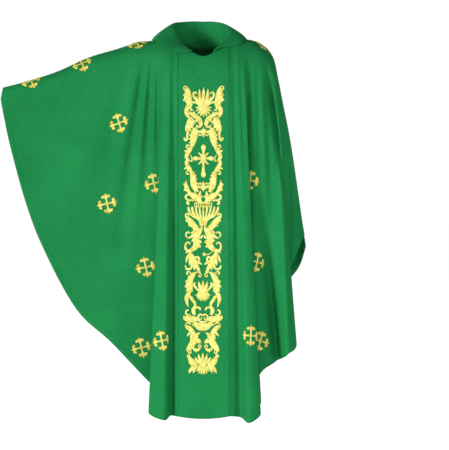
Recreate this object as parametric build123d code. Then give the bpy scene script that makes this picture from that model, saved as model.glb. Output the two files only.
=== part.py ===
from build123d import *
import math
import os

# A semi-Gothic chasuble as it hangs on a wearer: the wearer's right arm is raised to the side and spreads that
# half as a wing, the left arm hangs down and its half falls in stacked folds.
# Frame, in mm: origin where the garment rests on the neck and shoulders, +X the wearer's left, -Y the front, +Z up.

# ---- driving dimensions -------------------------------------------------------------------------------------
CLOTH = 2.0                # cloth of the panels
FACING = 0.8               # facings, hems and stabiliser cloth
CLEAR = 0.25               # air between layers that lie on each other
PILLAR_HALF = 90.0         # half width of the embroidered centre panels
SEAM_GAP = 0.3             # between a centre panel and a side panel
SEAM_X = PILLAR_HALF + SEAM_GAP
SHOULDER_Z = 12.0          # top of the cloth beside the neck
SHOULDER_DROP = 115.0      # height over which the cloth rounds the shoulders
FRONT_Y = -125.0           # plane of the front centre panel
BACK_Y = 130.0             # plane of the back centre panel
FRONT_HEM_Z = -1266.0
BACK_HEM_Z = -1238.0
HEM_DEPTH = 28.0
NECK_X, NECK_Y, NECK_CENTRE_Y = 80.0, 92.0, -8.0
NECK_FACING_WIDTH = 34.0
STITCH_WIDTH, STITCH_INSET, STITCH_TOP_Z = 2.0, 3.5, -45.0
EMBROIDERY = 1.2           # thickness of the embroidery
FRONT_COLUMN_TOP_Z = -137.0
BACK_COLUMN_TOP_Z = -113.0
COLUMN_LENGTH = 994.0
CROSS_SIZE = 68.0
CROSS_CLEAR = 0.6          # between a small cross and the highest cloth under it
FACET_SAMPLES = 4
SMALLEST_SCRAP = 30.0      # mm3, smaller scraps of a cut cross are left out
ARC_STEPS, FALL_STEPS, STATION_STEPS = 3, 4, 2

# Each station is one fold line of a side panel: its ridge point over the arm, then for the front and for the
# back the depth at which the cloth hangs from the arm and the point where the line meets the hem.
RIGHT_STATIONS = [
    # ridge                 depth  front hem                 depth  back hem
    ((-SEAM_X, 0, SHOULDER_Z),        -125, (-SEAM_X, FRONT_Y, FRONT_HEM_Z), 130, (-SEAM_X, BACK_Y, BACK_HEM_Z)),
    ((-101, 0, 14),         -124, (-113, -106, -1268),        129, (-114, 112, -1236)),
    ((-114, 0, 15),         -122, (-140, -143, -1280),        126, (-142, 148, -1246)),
    ((-130, 0, 16),         -116, (-184, -121, -1264),        120, (-182, 128, -1228)),
    ((-148, 0, 16),         -104, (-136, -84, -1196),         106, (-138, 88, -1170)),
    ((-166, 0, 14),         -90, (-190, -68, -1139),          90, (-190, 66, -1126)),
    ((-190, 0, 11),         -76, (-312, -76, -1016),          76, (-312, 70, -1004)),
    ((-228, -1, 6),         -66, (-428, -56, -898),           64, (-428, 50, -887)),
    ((-300, -3, -17),       -60, (-538, -68, -701),           54, (-537, 46, -692)),
    ((-392, -6, -45),       -56, (-600, -50, -548),           44, (-599, 30, -540)),
    ((-500, -10, -93),      -52, (-652, -56, -362),           34, (-651, 20, -356)),
    ((-604, -15, -127),     -46, (-677, -44, -250),           20, (-676, 10, -246)),
    ((-684, -22, -148),     -36, (-690, -34, -186),           -6, (-689, -10, -184)),
]
LEFT_STATIONS = [
    ((SEAM_X, 0, SHOULDER_Z),         -125, (SEAM_X, FRONT_Y, FRONT_HEM_Z), 130, (SEAM_X, BACK_Y, BACK_HEM_Z)),
    ((101, 0, 14),          -124, (126, -104, -1270),         129, (128, 112, -1234)),
    ((115, 0, 15),          -122, (156, -145, -1288),         127, (166, 152, -1256)),
    ((133, 0, 15),          -118, (194, -124, -1266),         122, (211, 128, -1226)),
    ((154, 0, 13),          -110, (150, -90, -1206),          114, (162, 98, -1172)),
    ((180, 0, 5),           -102, (203, -86, -1110),          104, (206, 92, -1114)),
    ((204, 0, -10),         -93, (250, -80, -1079),           96, (250, 106, -1082)),
    ((224, -1, -28),        -84, (284, -102, -1058),          88, (232, 80, -1052)),
    ((241, -2, -58),        -76, (317, -80, -1018),           80, (272, 90, -1018)),
    ((254, -3, -112),       -66, (266, -56, -905),            68, (246, 60, -935)),
    ((271, -4, -200),       -56, (288, -50, -790),            56, (268, 62, -840)),
    ((300, -5, -350),       -46, (318, -48, -712),            44, (326, 46, -762)),
    ((338, -6, -610),       -26, (345, -24, -652),            20, (350, 14, -690)),
]
# The collar, from its front point round to the back of the neck on the left side: outer edge, inner edge.
COLLAR_STATIONS = [
    ((40, -108, -38), (38, -101, -27)),
    ((62, -107, -33), (55, -88, -14)),
    ((88, -103, -24), (78, -64, 14)),
    ((120, -84, -7), (91, -34, 43)),
    ((152, -46, 20), (92, -4, 66)),
    ((163, 12, 30), (84, 30, 78)),
    ((140, 66, 18), (60, 58, 86)),
    ((82, 110, -12), (28, 71, 89)),
    ((36, 125, -38), (9, 74, 90)),
    ((0, 130, -50), (0, 74, 90)),
]
COLLAR_BULGE = 9.0
COLLAR_STEPS = 6

# Small crosses: x and z of the middle, turn in degrees, share of full width.
RIGHT_FRONT_CROSSES = [
    (-226, 6, 8, 1.0), (-414, -62, 22, 1.0), (-588, -122, 20, 1.0), (-287, -270, 20, 1.0),
    (-168, -475, 0, 0.7), (-328, -544, 6, 1.0), (-214, -760, -8, 1.0),
    (-212, -1020, 0, 1.0), (-150, -1005, 0, 0.62),
]
RIGHT_BACK_CROSSES = [
    (-250, -250, -20, 1.0), (-400, -400, 12, 1.0), (-165, -402, 0, 0.7),
    (-300, -690, 5, 1.0), (-150, -900, 0, 0.7),
]
LEFT_FRONT_CROSSES = [
    (209, -4, -12, 1.0), (165, -465, 0, 0.6), (166, -985, 0, 0.6), (196, -742, 0, 0.55),
]
LEFT_BACK_CROSSES = [
    (236, -222, 45, 1.0), (158, -404, 0, 0.62), (176, -700, 0, 0.55), (166, -930, 0, 0.7),
]


# ---- curves and sheets --------------------------------------------------------------------------------------
def blend(values, t):
    """Value at t, 0 to 1, of a smooth curve through values, which are numbers or points."""
    last = len(values) - 1
    i = min(int(t * last), last - 1)
    f = t * last - i
    a, b, c, d = (values[min(max(i + k, 0), last)] for k in (-1, 0, 1, 2))
    if isinstance(b, tuple):
        return tuple(_hermite(*four, f) for four in zip(a, b, c, d))
    return _hermite(a, b, c, d, f)


def _hermite(a, b, c, d, f):
    p, q = (c - a) / 2, (d - b) / 2
    return (2 * f**3 - 3 * f**2 + 1) * b + (f**3 - 2 * f**2 + f) * p + (3 * f**2 - 2 * f**3) * c + (f**3 - f**2) * q


def offset(grid, distance):
    """The grid of points moved along its own normals."""
    rows, columns = len(grid), len(grid[0])
    moved = []
    for i in range(rows):
        row = []
        for j in range(columns):
            along = Vector(*grid[min(i + 1, rows - 1)][j]) - Vector(*grid[max(i - 1, 0)][j])
            across = Vector(*grid[i][min(j + 1, columns - 1)]) - Vector(*grid[i][max(j - 1, 0)])
            normal = along.cross(across)
            if abs(abs(grid[i][j][0]) - SEAM_X) < 1e-6:
                normal.X = 0  # the seam edge stays in its plane
            row.append(tuple(Vector(*grid[i][j]) + normal.normalized() * distance))
        moved.append(row)
    return moved


def sheet(grid, start, end):
    """Closed solid between the grid offset by start and the grid offset by end."""
    faces = [
        Face.make_surface_from_array_of_points(
            [[Vector(*p) for p in row] for row in offset(grid, distance)], tol=0.05, min_deg=3, max_deg=3
        )
        for distance in (start, end)
    ]
    sides = []
    for edge in faces[0].edges():
        mate = min(faces[1].edges(), key=lambda other: (other.center() - edge.center()).length)
        sides.append(Face.make_surface_from_curves(edge, mate))
    solid = Solid(Shell(faces + sides))
    return solid if solid.volume > 0 else Solid(solid.wrapped.Reversed())


def faceted(outer, inner):
    """Closed solid between two grids of points, with flat triangular faces."""
    rows, columns = len(outer), len(outer[0])
    loops = []
    for i in range(rows - 1):
        for j in range(columns - 1):
            for grid in (outer, inner):
                a, b, c, d = grid[i][j], grid[i][j + 1], grid[i + 1][j + 1], grid[i + 1][j]
                loops += [(a, b, c), (a, c, d)]
    rim = [(i, 0) for i in range(rows)] + [(rows - 1, j) for j in range(1, columns)]
    rim += [(i, columns - 1) for i in range(rows - 2, -1, -1)] + [(0, j) for j in range(columns - 2, 0, -1)]
    for (i, j), (m, n) in zip(rim, rim[1:] + rim[:1]):
        loops += [(outer[i][j], outer[m][n], inner[m][n]), (outer[i][j], inner[m][n], inner[i][j])]
    solid = Solid(Shell([Face(Wire.make_polygon(loop)) for loop in loops]))
    return solid if solid.volume > 0 else Solid(solid.wrapped.Reversed())


def fall(ridge, depth, hem):
    """Points down one side of a fold line: round the arm as a quarter ellipse, then straight to the hem.

    The last two points are the top and the bottom of the turned hem."""
    height = max(ridge[2] - hem[2], 1)
    arm = max(40.0, min(SHOULDER_DROP, SHOULDER_DROP * abs(depth) / 120))
    rounding = min(0.5, arm / height)
    hem_top = 1 - min(0.25, HEM_DEPTH / height)
    angles = [math.pi / 2 * k / ARC_STEPS for k in range(ARC_STEPS)]
    shares = [(rounding * (1 - math.cos(angle)), math.sin(angle)) for angle in angles]
    shares += [(rounding + (hem_top - rounding) * k / FALL_STEPS, 1) for k in range(FALL_STEPS + 1)] + [(1, 1)]
    fold = hem[1] - depth
    return [
        (ridge[0] + (hem[0] - ridge[0]) * v,
         ridge[1] + (depth - ridge[1]) * round_y + fold * v**1.5,
         ridge[2] + (hem[2] - ridge[2]) * v)
        for v, round_y in shares
    ]


def side_grid(stations):
    """Points of a side panel: one row for each fold line, from the front hem over the arm to the back hem."""
    count = (len(stations) - 1) * STATION_STEPS
    grid = []
    for k in range(count + 1):
        ridge, front, front_hem, back, back_hem = (blend([s[n] for s in stations], k / count) for n in range(5))
        grid.append(fall(ridge, front, front_hem)[::-1] + fall(ridge, back, back_hem)[1:])
    return grid


def layer(grid, start, end, columns=slice(None)):
    """Faceted solid between two offsets of a grid, over all or some of its columns."""
    outer, inner = ([row[columns] for row in offset(grid, distance)] for distance in (start, end))
    return faceted(outer, inner)


# ---- centre panels ------------------------------------------------------------------------------------------
def centre_layer(plane_y, bottom, start, end, x0, x1):
    """Layer that follows a centre panel, from start to end inside its outer face, between x0 and x1."""
    side = math.copysign(1, plane_y)
    deep = abs(plane_y)
    middle = SHOULDER_Z - SHOULDER_DROP
    outline = [
        EllipticalCenterArc((0, middle), deep - inset, SHOULDER_DROP - inset, start_angle=0, arc_size=90)
        for inset in (start, end)
    ]
    near, far = (Vector(deep - inset, middle) for inset in (start, end))
    bottom_near, bottom_far = (Vector(deep - inset, bottom) for inset in (start, end))
    edges = outline + [
        Line(near, bottom_near), Line(bottom_near, bottom_far), Line(bottom_far, far),
        Line((0, SHOULDER_Z - start), (0, SHOULDER_Z - end)),
    ]
    face = make_face(edges)
    solid = extrude(Plane.YZ.offset(x0) * face, amount=x1 - x0)
    return solid if side > 0 else mirror(solid, Plane.XZ)


def neck_cutter(extra=0.0):
    ellipse = Ellipse(NECK_X + extra, NECK_Y + extra)
    return Pos(0, NECK_CENTRE_Y, -200) * extrude(ellipse, amount=400)


def half_space(plane_y):
    """Everything on the front or the back side of the shoulder line."""
    side = math.copysign(1, plane_y)
    return Pos(0, side * (500 + SEAM_GAP / 2), -600) * Box(1000, 1000, 2000)


def centre_panel(plane_y, bottom):
    return centre_layer(plane_y, bottom, 0, CLOTH, -PILLAR_HALF, PILLAR_HALF) & half_space(plane_y) - neck_cutter()


def neck_facing():
    pieces = []
    for plane_y in (FRONT_Y, BACK_Y):
        inner = CLOTH + CLEAR
        layer = centre_layer(plane_y, -103 + 1, inner, inner + FACING, -PILLAR_HALF + 2, PILLAR_HALF - 2)
        pieces.append(layer & half_space(plane_y) & neck_cutter(NECK_FACING_WIDTH) - neck_cutter())
    return pieces


def centre_hem(plane_y, bottom):
    side = math.copysign(1, plane_y)
    y = plane_y - side * (CLOTH + CLEAR + FACING / 2)
    return Pos(0, y, bottom + HEM_DEPTH / 2) * Box(2 * PILLAR_HALF - 4, FACING, HEM_DEPTH)


def stabiliser(plane_y, top):
    side = math.copysign(1, plane_y)
    y = plane_y - side * (CLOTH + CLEAR + FACING / 2)
    return Pos(0, y, top - COLUMN_LENGTH / 2) * Box(156, FACING, COLUMN_LENGTH + 16)


def seam_stitching(plane_y, bottom, side_x):
    x = side_x * (PILLAR_HALF - STITCH_INSET) - STITCH_WIDTH / 2
    line = centre_layer(plane_y, bottom, -CLEAR - FACING, -CLEAR, x, x + STITCH_WIDTH)
    return line & Pos(0, 0, STITCH_TOP_Z - 1000) * Box(1000, 1000, 2000)


# ---- collar -------------------------------------------------------------------------------------------------
def collar_grid():
    left = COLLAR_STATIONS
    right = [tuple((-x, y, z) for x, y, z in station) for station in left[-2::-1]]
    stations = left + right
    count = (len(stations) - 1) * 3
    grid = []
    for k in range(count + 1):
        outer, inner = (Vector(*blend([s[n] for s in stations], k / count)) for n in range(2))
        away = Vector(outer.X, outer.Y, 60).normalized()
        row = []
        for step in range(COLLAR_STEPS + 1):
            w = step / COLLAR_STEPS
            row.append(tuple(outer * (1 - w) + inner * w + away * (COLLAR_BULGE * 4 * w * (1 - w))))
        grid.append(row)
    return grid


# ---- embroidery strokes -------------------------------------------------------------------------------------
# A stroke is a list of (x, drop, half width): a line of satin stitch seen from the front, with x from the middle of
# the column and drop from its top.
def leaf(x0, d0, x1, d1, bend=0.0, half=5.0, steps=4):
    """Pointed leaf from its base to its tip. bend moves its middle to the left of the way it points."""
    mx, md = (x0 + x1) / 2 + bend * (d1 - d0), (d0 + d1) / 2 - bend * (x1 - x0)
    stroke = []
    for k in range(steps + 1):
        t = k / steps
        x = (1 - t) ** 2 * x0 + 2 * t * (1 - t) * mx + t * t * x1
        d = (1 - t) ** 2 * d0 + 2 * t * (1 - t) * md + t * t * d1
        stroke.append((x, d, max(0.3, half * math.sin(math.pi * min(1, 0.12 + 0.88 * t)) ** 0.75)))
    return stroke


def curl(x, d, radius, start, turn, half=2.6, steps=7):
    """Spiral that ends in the middle: start is the angle of its outer end, turn how far it winds, in degrees."""
    stroke = []
    for k in range(steps + 1):
        t = k / steps
        angle = math.radians(start + turn * t)
        r = radius * (1 - 0.78 * t)
        stroke.append((x + r * math.cos(angle), d + r * math.sin(angle), half * (0.55 + 0.45 * t)))
    return stroke


def dot(x, d, radius):
    return [(x, d - radius + 0.1, 0.5), (x, d - radius * 0.7, radius * 0.72), (x, d, radius),
            (x, d + radius * 0.7, radius * 0.72), (x, d + radius - 0.1, 0.5)]


def band(points, half, steps=6):
    """Even band along a smooth curve through points, with narrowed ends."""
    stroke = []
    for k in range(steps + 1):
        t = k / steps
        x, d = blend(points, t)
        stroke.append((x, d, half * (0.35 + 0.65 * math.sin(math.pi * min(max(t, 0.05), 0.95)) ** 0.5)))
    return stroke


def rays(x, d, inner, outer, start, end, count, half=2.4):
    """Spikes round a point, from the angle start to end in degrees, 90 pointing down."""
    strokes = []
    for k in range(count):
        a = math.radians(start + (end - start) * k / (count - 1))
        c, s = math.cos(a), math.sin(a)
        strokes.append(leaf(x + inner * c, d + inner * s, x + outer * c, d + outer * s, 0, half, 4))
    return strokes


def serrated(points, half, teeth, length, side):
    """Leaf along a curve with teeth on one side (side 1 is left of the way it points)."""
    strokes = [band(points, half)]
    for k in range(teeth):
        t = (k + 0.7) / (teeth + 0.6)
        (x, d), (xn, dn) = blend(points, t), blend(points, min(1, t + 0.05))
        ux, ud = xn - x, dn - d
        size = math.hypot(ux, ud)
        ux, ud = ux / size, ud / size
        tip_x = x + length * (0.75 * side * ud + 0.65 * ux)
        tip_d = d + length * (-0.75 * side * ux + 0.65 * ud)
        strokes.append(leaf(x, d, tip_x, tip_d, 0.12 * side, half * 0.62, 4))
    return strokes


def pair(strokes):
    """The strokes and their mirror images."""
    return strokes + [[(-x, d, half) for x, d, half in stroke] for stroke in strokes]


def top_palmette():
    crown = [leaf(0, 78, 0, 6, 0, 6)]
    sides = [leaf(-4, 76, -11, 13, 0.06, 4.5), leaf(-7, 76, -22, 30, 0.12, 4),
             leaf(-10, 80, -34, 44, 0.16, 4), curl(-28, 24, 8, 60, -330)]
    return crown + pair(sides) + rays(0, 80, 4, 29, 0, 180, 13) + [dot(0, 79, 9)]


def corner_leaves():
    upper = serrated([(-47, 66), (-54, 44), (-64, 26), (-67, 12)], 6, 5, 12, 1) + [curl(-62, 9, 7, 100, 330)]
    lower = serrated([(-44, 110), (-54, 122), (-62, 138), (-66, 154)], 6, 5, 11, -1)
    return pair(upper + lower + [curl(-52, 164, 8, 180, -320), band([(-66, 152), (-70, 168), (-64, 186)], 2.6),
                                 curl(-60, 186, 6, 200, -300)])


def upper_scrolls():
    return pair([band([(-46, 64), (-63, 74), (-69, 88), (-64, 103), (-50, 113)], 4.6),
                 band([(-58, 74), (-48, 90), (-44, 104), (-30, 116), (-20, 128)], 2.4),
                 curl(-17, 138, 9, -80, 340), leaf(-44, 92, -26, 98, 0.2, 3.4)])


def frame_fleurs():
    shapes = []
    for d, way in ((150, 1), (350, -1)):
        shapes += [leaf(0, d + 12 * way, 0, d - 22 * way, 0, 5.5)]
        shapes += pair([leaf(-3, d + 10 * way, -17, d - 10 * way, -0.3 * way, 4), curl(-11, d + 19 * way, 6, 0, 300 * way)])
        shapes += [dot(0, d + 14 * way, 4.5)]
    return shapes


def frame_leaves():
    upper = serrated([(-22, 146), (-34, 160), (-43, 182), (-45, 208)], 5.5, 6, 12, -1)
    lower = serrated([(-47, 292), (-45, 318), (-36, 342), (-22, 362)], 5.5, 6, 12, -1)
    return pair(upper + lower + [curl(-28, 156, 6, 240, -300), curl(-28, 352, 6, 120, 300)])


def side_scrolls():
    spine = [(-56, 206), (-51, 226), (-50, 256), (-52, 284), (-58, 304)]
    thorns = [leaf(-51, 226 + 14 * k, -66, 220 + 15 * k, 0.15, 3.2, 4) for k in range(5)]
    return pair([band(spine, 3.4)] + thorns + [curl(-61, 203, 7, 30, -320), curl(-62, 303, 7, -40, 320)])


def medallion_cross():
    upright = [(0, 204, 4), (0, 214, 9), (0, 226, 5), (0, 258, 4.6), (0, 294, 5), (0, 308, 9), (0, 316, 4)]
    arm = [(-37, 250, 4), (-29, 250, 9), (-18, 250, 5), (0, 250, 4.6), (18, 250, 5), (29, 250, 9), (37, 250, 4)]
    return [upright, arm] + pair([leaf(-5, 255, -18, 270, 0.1, 3, 4), leaf(-5, 245, -18, 230, -0.1, 3, 4)])


def flame_leaves():
    flames = serrated([(-46, 372), (-58, 362), (-66, 348), (-62, 328)], 5.5, 5, 12, 1)
    wings = [leaf(-44, 378, -3, 366, 0.15, 6), leaf(-42, 390, -4, 382, 0.12, 6), leaf(-40, 401, -6, 398, 0.1, 5)]
    return pair(flames + wings + [curl(-55, 379, 8, 0, 330), curl(-46, 400, 6, 20, 300)])


def chalice_bowl():
    rim = [[(-27, 408, 4), (0, 408, 4.4), (27, 408, 4)]]
    flutes = []
    for k in range(12):
        x = -49.5 + 9 * k
        flutes.append([(x, 416, 2), (x * 0.94, 422, 4.4), (x * 0.62, 444, 3.1), (x * 0.3, 464, 2)])
    foot = [[(-17, 466, 3), (0, 467, 4), (17, 466, 3)], [(0, 466, 8), (0, 474, 7), (0, 481, 4)]]
    return rim + [[(-52, 417, 2.2), (0, 416, 2.6), (52, 417, 2.2)]] + flutes + foot


def wing_leaves():
    return pair([band([(-54, 450), (-40, 456), (-28, 470), (-15, 494)], 5.5), curl(-57, 446, 8, 30, 330),
                 leaf(-40, 458, -52, 478, 0.1, 4), leaf(-32, 468, -42, 492, 0.1, 4), leaf(-24, 480, -30, 504, 0.1, 4)])


def bird_scrolls():
    return pair([band([(-12, 500), (-22, 512), (-38, 516), (-48, 528), (-44, 546), (-26, 558), (-12, 566)], 5.5, 9),
                 curl(-56, 513, 9, 60, -340), curl(-7, 522, 7, 150, 320), leaf(-30, 520, -40, 500, -0.1, 4),
                 leaf(-46, 530, -66, 532, 0.2, 4), band([(-56, 534), (-66, 547), (-58, 562)], 4.5),
                 leaf(-40, 552, -20, 536, 0.2, 4), leaf(-24, 560, -6, 548, 0.2, 3.6)])


def bud_sprig():
    return [leaf(3, 572, 6, 592, 0, 6), band([(5, 576), (16, 578), (27, 572), (33, 566)], 1.8), dot(34, 565, 3.6),
            leaf(18, 578, 26, 590, 0.1, 3, 4)]


def hanging_leaves():
    fingers = [leaf(-50 + 9 * k, 582 + 3 * k, -56 + 8 * k, 630 + 4 * k, -0.06, 5) for k in range(5)]
    return pair([band([(-60, 578), (-40, 576), (-24, 582), (-14, 594)], 5), curl(-20, 588, 8, 200, 320)]
                + fingers + [band([(-64, 612), (-62, 632), (-48, 640), (-40, 628)], 4)])


def mid_leaves():
    return pair(serrated([(-46, 654), (-52, 676), (-48, 700), (-36, 724)], 6.5, 5, 14, -1)
                + [curl(-54, 650, 8, 20, 330), curl(-12, 654, 7, 160, 320), band([(-40, 664), (-26, 660), (-16, 648)], 2.6),
                   leaf(-42, 684, -22, 672, -0.1, 4)])


def small_palmette():
    return ([leaf(0, 712, 0, 668, 0, 5)] + pair([leaf(-3, 712, -12, 676, 0.1, 4), leaf(-5, 714, -24, 690, 0.16, 3.6)])
            + rays(0, 714, 3, 26, 10, 170, 11) + [dot(0, 713, 8)])


def crescent_scrolls():
    return pair([band([(-36, 706), (-54, 718), (-66, 742), (-62, 764), (-48, 780)], 5),
                 band([(-58, 730), (-44, 742), (-34, 754), (-22, 760)], 2.6), curl(-15, 768, 9, -60, 330),
                 leaf(-46, 744, -50, 766, 0.1, 3.6)])


def winged_heart():
    plates = [[(-70, 808, 3), (-60, 812, 8), (-38, 816, 9), (-22, 818, 5)]]
    fan = [leaf(-3 - 4.5 * k, 832, -5 - 7 * k, 860 - 2.2 * k, 0.03, 4) for k in range(4)]
    drop = [leaf(-34, 838, -58, 868, -0.2, 5.5), leaf(-30, 846, -42, 882, -0.15, 5), curl(-62, 794, 8, 90, -330)]
    ring = [band([(0, 797), (-14, 804), (-17, 814), (-12, 826), (0, 831)], 3.4)]
    return pair(plates + fan + drop + ring) + [dot(0, 814, 7)]


def foot_leaves():
    return pair(serrated([(-22, 874), (-38, 880), (-52, 894), (-64, 914)], 5.5, 5, 11, -1)
                + [curl(-50, 917, 7, -60, 320), curl(-15, 899, 8, 200, 330), band([(-30, 882), (-22, 888), (-22, 896)], 2.4)])


def bottom_palmette():
    crown = [leaf(0, 946, 0, 916, 0, 5)] + pair([leaf(-4, 946, -14, 922, 0.1, 4)])
    corners = [[(-56, 930, 3), (-46, 934, 6.5), (-32, 944, 6), (-20, 954, 3)], curl(-58, 930, 7, 60, -320),
               leaf(-30, 962, -54, 968, 0.1, 4.4), leaf(-26, 970, -46, 986, 0.1, 4.4)]
    return crown + pair(corners) + rays(0, 950, 4, 42, 25, 155, 11, 3.2) + [dot(0, 948, 10)]


MOTIFS = [
    top_palmette, corner_leaves, upper_scrolls, frame_fleurs, frame_leaves, side_scrolls, medallion_cross,
    flame_leaves, chalice_bowl, wing_leaves, bird_scrolls, bud_sprig, hanging_leaves, mid_leaves, small_palmette,
    crescent_scrolls, winged_heart, foot_leaves, bottom_palmette,
]


def outline(stroke):
    """Closed polygon round a stroke, as (x, drop) points."""
    left, right = [], []
    for k, (x, d, half) in enumerate(stroke):
        xa, da, _ = stroke[max(k - 1, 0)]
        xb, db, _ = stroke[min(k + 1, len(stroke) - 1)]
        size = math.hypot(xb - xa, db - da)
        nx, nd = (db - da) / size * half, -(xb - xa) / size * half
        left.append((x + nx, d + nd))
        right.append((x - nx, d - nd))
    return left + right[::-1]


def joined(strokes, up=1):
    """One flat shape from the outlines of all strokes, with up -1 turning drops into heights."""
    faces = [make_face(Polyline([(x, up * d) for x, d in outline(stroke)], close=True)) for stroke in strokes]
    return Sketch() + faces


def flat_motifs():
    """Flat shape of each motif, (x, -drop), cut back where it would lie on one drawn before it."""
    shapes = {}
    for draw in MOTIFS:
        shape = joined(draw(), up=-1)
        box = shape.bounding_box()
        for other in list(shapes.values()):
            near = other.bounding_box()
            if near.max.Y > box.min.Y and near.min.Y < box.max.Y:
                shape = shape - other
        shapes[draw.__name__] = shape
    return shapes


def raised(shape, plane_y, top):
    """Embroidery of a flat shape, standing on the outer face of a centre panel."""
    side = math.copysign(1, plane_y)
    base = plane_y + side * CLEAR
    return extrude(Plane.XZ.offset(-base) * Pos(0, top) * shape, amount=-side * EMBROIDERY)


# ---- small crosses ------------------------------------------------------------------------------------------
def fleury_cross():
    """Outline strokes of a small cross with three-leaved ends, centred on 0."""
    reach = CROSS_SIZE / 2
    strokes = []
    for quarter in range(4):
        a = math.radians(90 * quarter)
        c, s = math.cos(a), math.sin(a)
        arm = [(0, 0, 4.5), (reach * 0.5, 0, 3.4), (reach * 0.62, 0, 3.6), (reach * 0.82, 0, 6), (reach, 0, 0.6)]
        petals = [[(reach * 0.55, 0, 2.6), (reach * 0.72, y * 0.7, 3.6), (reach * 0.6, y, 1.2)] for y in (-13, 13)]
        for stroke in [arm] + petals:
            strokes.append([(c * x - s * y, s * x + c * y, half) for x, y, half in stroke])
    return strokes


def tangent_plane(grid, x, z, side):
    """Plane over the outermost cloth of the front (side -1) or back (side 1) near x and z, clear of the cloth."""
    half = len(grid[0]) // 2
    columns = range(half) if side < 0 else range(half, len(grid[0]) - 1)
    spots = []
    for i in range(len(grid) - 1):
        for j in columns:
            a, b, c, d = (Vector(*grid[m][n]) for m, n in ((i, j), (i, j + 1), (i + 1, j), (i + 1, j + 1)))
            normal = (c - a + d - b).cross(b - a + d - c).normalized()
            for k in range(2 * FACET_SAMPLES + 1):
                for m in range(3):
                    v, u = k / (2 * FACET_SAMPLES), m / 2
                    spots.append(((a * (1 - v) + b * v) * (1 - u) + (c * (1 - v) + d * v) * u, normal))
    spots.sort(key=lambda spot: math.hypot(spot[0].X - x, spot[0].Z - z))
    middle, normal = max(spots[:6], key=lambda spot: side * spot[0].Y)
    rise = max((p - middle).dot(normal) for p, _ in spots if (p - middle).length < 0.6 * CROSS_SIZE)
    aside = Vector(x, middle.Y, z) - middle
    origin = middle + aside - normal * aside.dot(normal) + normal * (rise + CROSS_CLEAR)
    return Plane(origin=origin, x_dir=Vector(1, 0, 0) - normal * normal.X, z_dir=normal)


def cross_group(grid, panel, crosses, side):
    """Small crosses lying on the outer face of a side panel, cut back where a fold of the panel comes through."""
    shape = joined(fleury_cross())
    found = []
    for x, z, turn, width in crosses:
        flat = Rot(0, 0, turn) * scale(shape, by=(width, 1, 1))
        cross = extrude(tangent_plane(grid, x, z, side) * flat, amount=EMBROIDERY) - panel
        found += [piece for piece in cross.solids() if piece.volume > SMALLEST_SCRAP]
    return found


def save(node, *solids):
    flat = [solid for shape in solids for solid in shape.solids()]
    export_step(flat[0] if len(flat) == 1 else Compound(flat), f"parts/{node}.step")


def main():
    os.makedirs("parts", exist_ok=True)
    save("front_centre_panel", centre_panel(FRONT_Y, FRONT_HEM_Z))
    save("back_centre_panel", centre_panel(BACK_Y, BACK_HEM_Z))
    save("neck_facing", *neck_facing())
    save("front_centre_hem", centre_hem(FRONT_Y, FRONT_HEM_Z))
    save("back_centre_hem", centre_hem(BACK_Y, BACK_HEM_Z))
    save("front_stabiliser", stabiliser(FRONT_Y, FRONT_COLUMN_TOP_Z))
    save("back_stabiliser", stabiliser(BACK_Y, BACK_COLUMN_TOP_Z))
    for face, plane_y, bottom in (("front", FRONT_Y, FRONT_HEM_Z), ("back", BACK_Y, BACK_HEM_Z)):
        for hand, side_x in (("right", -1), ("left", 1)):
            save(f"{face}_{hand}_seam_stitching", seam_stitching(plane_y, bottom, side_x))

    crosses = {"right": (RIGHT_FRONT_CROSSES, RIGHT_BACK_CROSSES), "left": (LEFT_FRONT_CROSSES, LEFT_BACK_CROSSES)}
    for hand, stations, out in (("right", RIGHT_STATIONS, -1), ("left", LEFT_STATIONS, 1)):
        grid = side_grid(stations)[::out]
        panel = layer(grid, 0, -CLOTH)
        save(f"{hand}_side_panel", panel)
        inner = -(CLOTH + CLEAR)
        save(f"{hand}_side_hem", *(layer(grid, inner, inner - FACING, ends) for ends in (slice(2), slice(-2, None))))
        for face, group, side in (("front", crosses[hand][0], -1), ("back", crosses[hand][1], 1)):
            save(f"{face}_{hand}_crosses", *cross_group(grid, panel, group, side))

    grid = collar_grid()
    for k, node in enumerate(("collar_outer", "collar_interfacing", "collar_under")):
        save(node, sheet(grid, -k * (1 + CLEAR), -k * (1 + CLEAR) - 1))

    shapes = flat_motifs()
    for face, plane_y, top in (("front", FRONT_Y, FRONT_COLUMN_TOP_Z), ("back", BACK_Y, BACK_COLUMN_TOP_Z)):
        for name, shape in shapes.items():
            save(f"{face}_{name}", raised(shape, plane_y, top))


main()
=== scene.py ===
import math
import bpy
import numpy as np
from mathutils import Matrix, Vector
from mathutils.bvhtree import BVHTree


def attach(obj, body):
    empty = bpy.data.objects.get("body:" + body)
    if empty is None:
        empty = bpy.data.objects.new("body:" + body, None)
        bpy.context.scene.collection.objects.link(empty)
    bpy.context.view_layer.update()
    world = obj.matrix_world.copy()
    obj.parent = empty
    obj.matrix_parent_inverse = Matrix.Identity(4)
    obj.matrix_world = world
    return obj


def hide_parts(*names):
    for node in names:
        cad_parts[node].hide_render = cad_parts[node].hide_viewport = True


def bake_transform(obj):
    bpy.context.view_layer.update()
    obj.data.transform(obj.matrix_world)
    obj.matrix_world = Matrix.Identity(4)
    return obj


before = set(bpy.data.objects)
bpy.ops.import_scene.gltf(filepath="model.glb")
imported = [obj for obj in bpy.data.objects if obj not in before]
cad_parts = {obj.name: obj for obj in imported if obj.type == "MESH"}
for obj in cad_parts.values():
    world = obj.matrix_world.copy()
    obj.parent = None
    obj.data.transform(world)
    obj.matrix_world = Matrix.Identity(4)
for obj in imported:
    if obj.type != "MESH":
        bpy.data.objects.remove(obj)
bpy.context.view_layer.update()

MM = 0.001

# Shapes are worked out in millimetres, in the frame of the CAD model, and scaled to metres when a mesh is
# made. The wearer faces -Y, and the wearer's right is -X.

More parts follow.
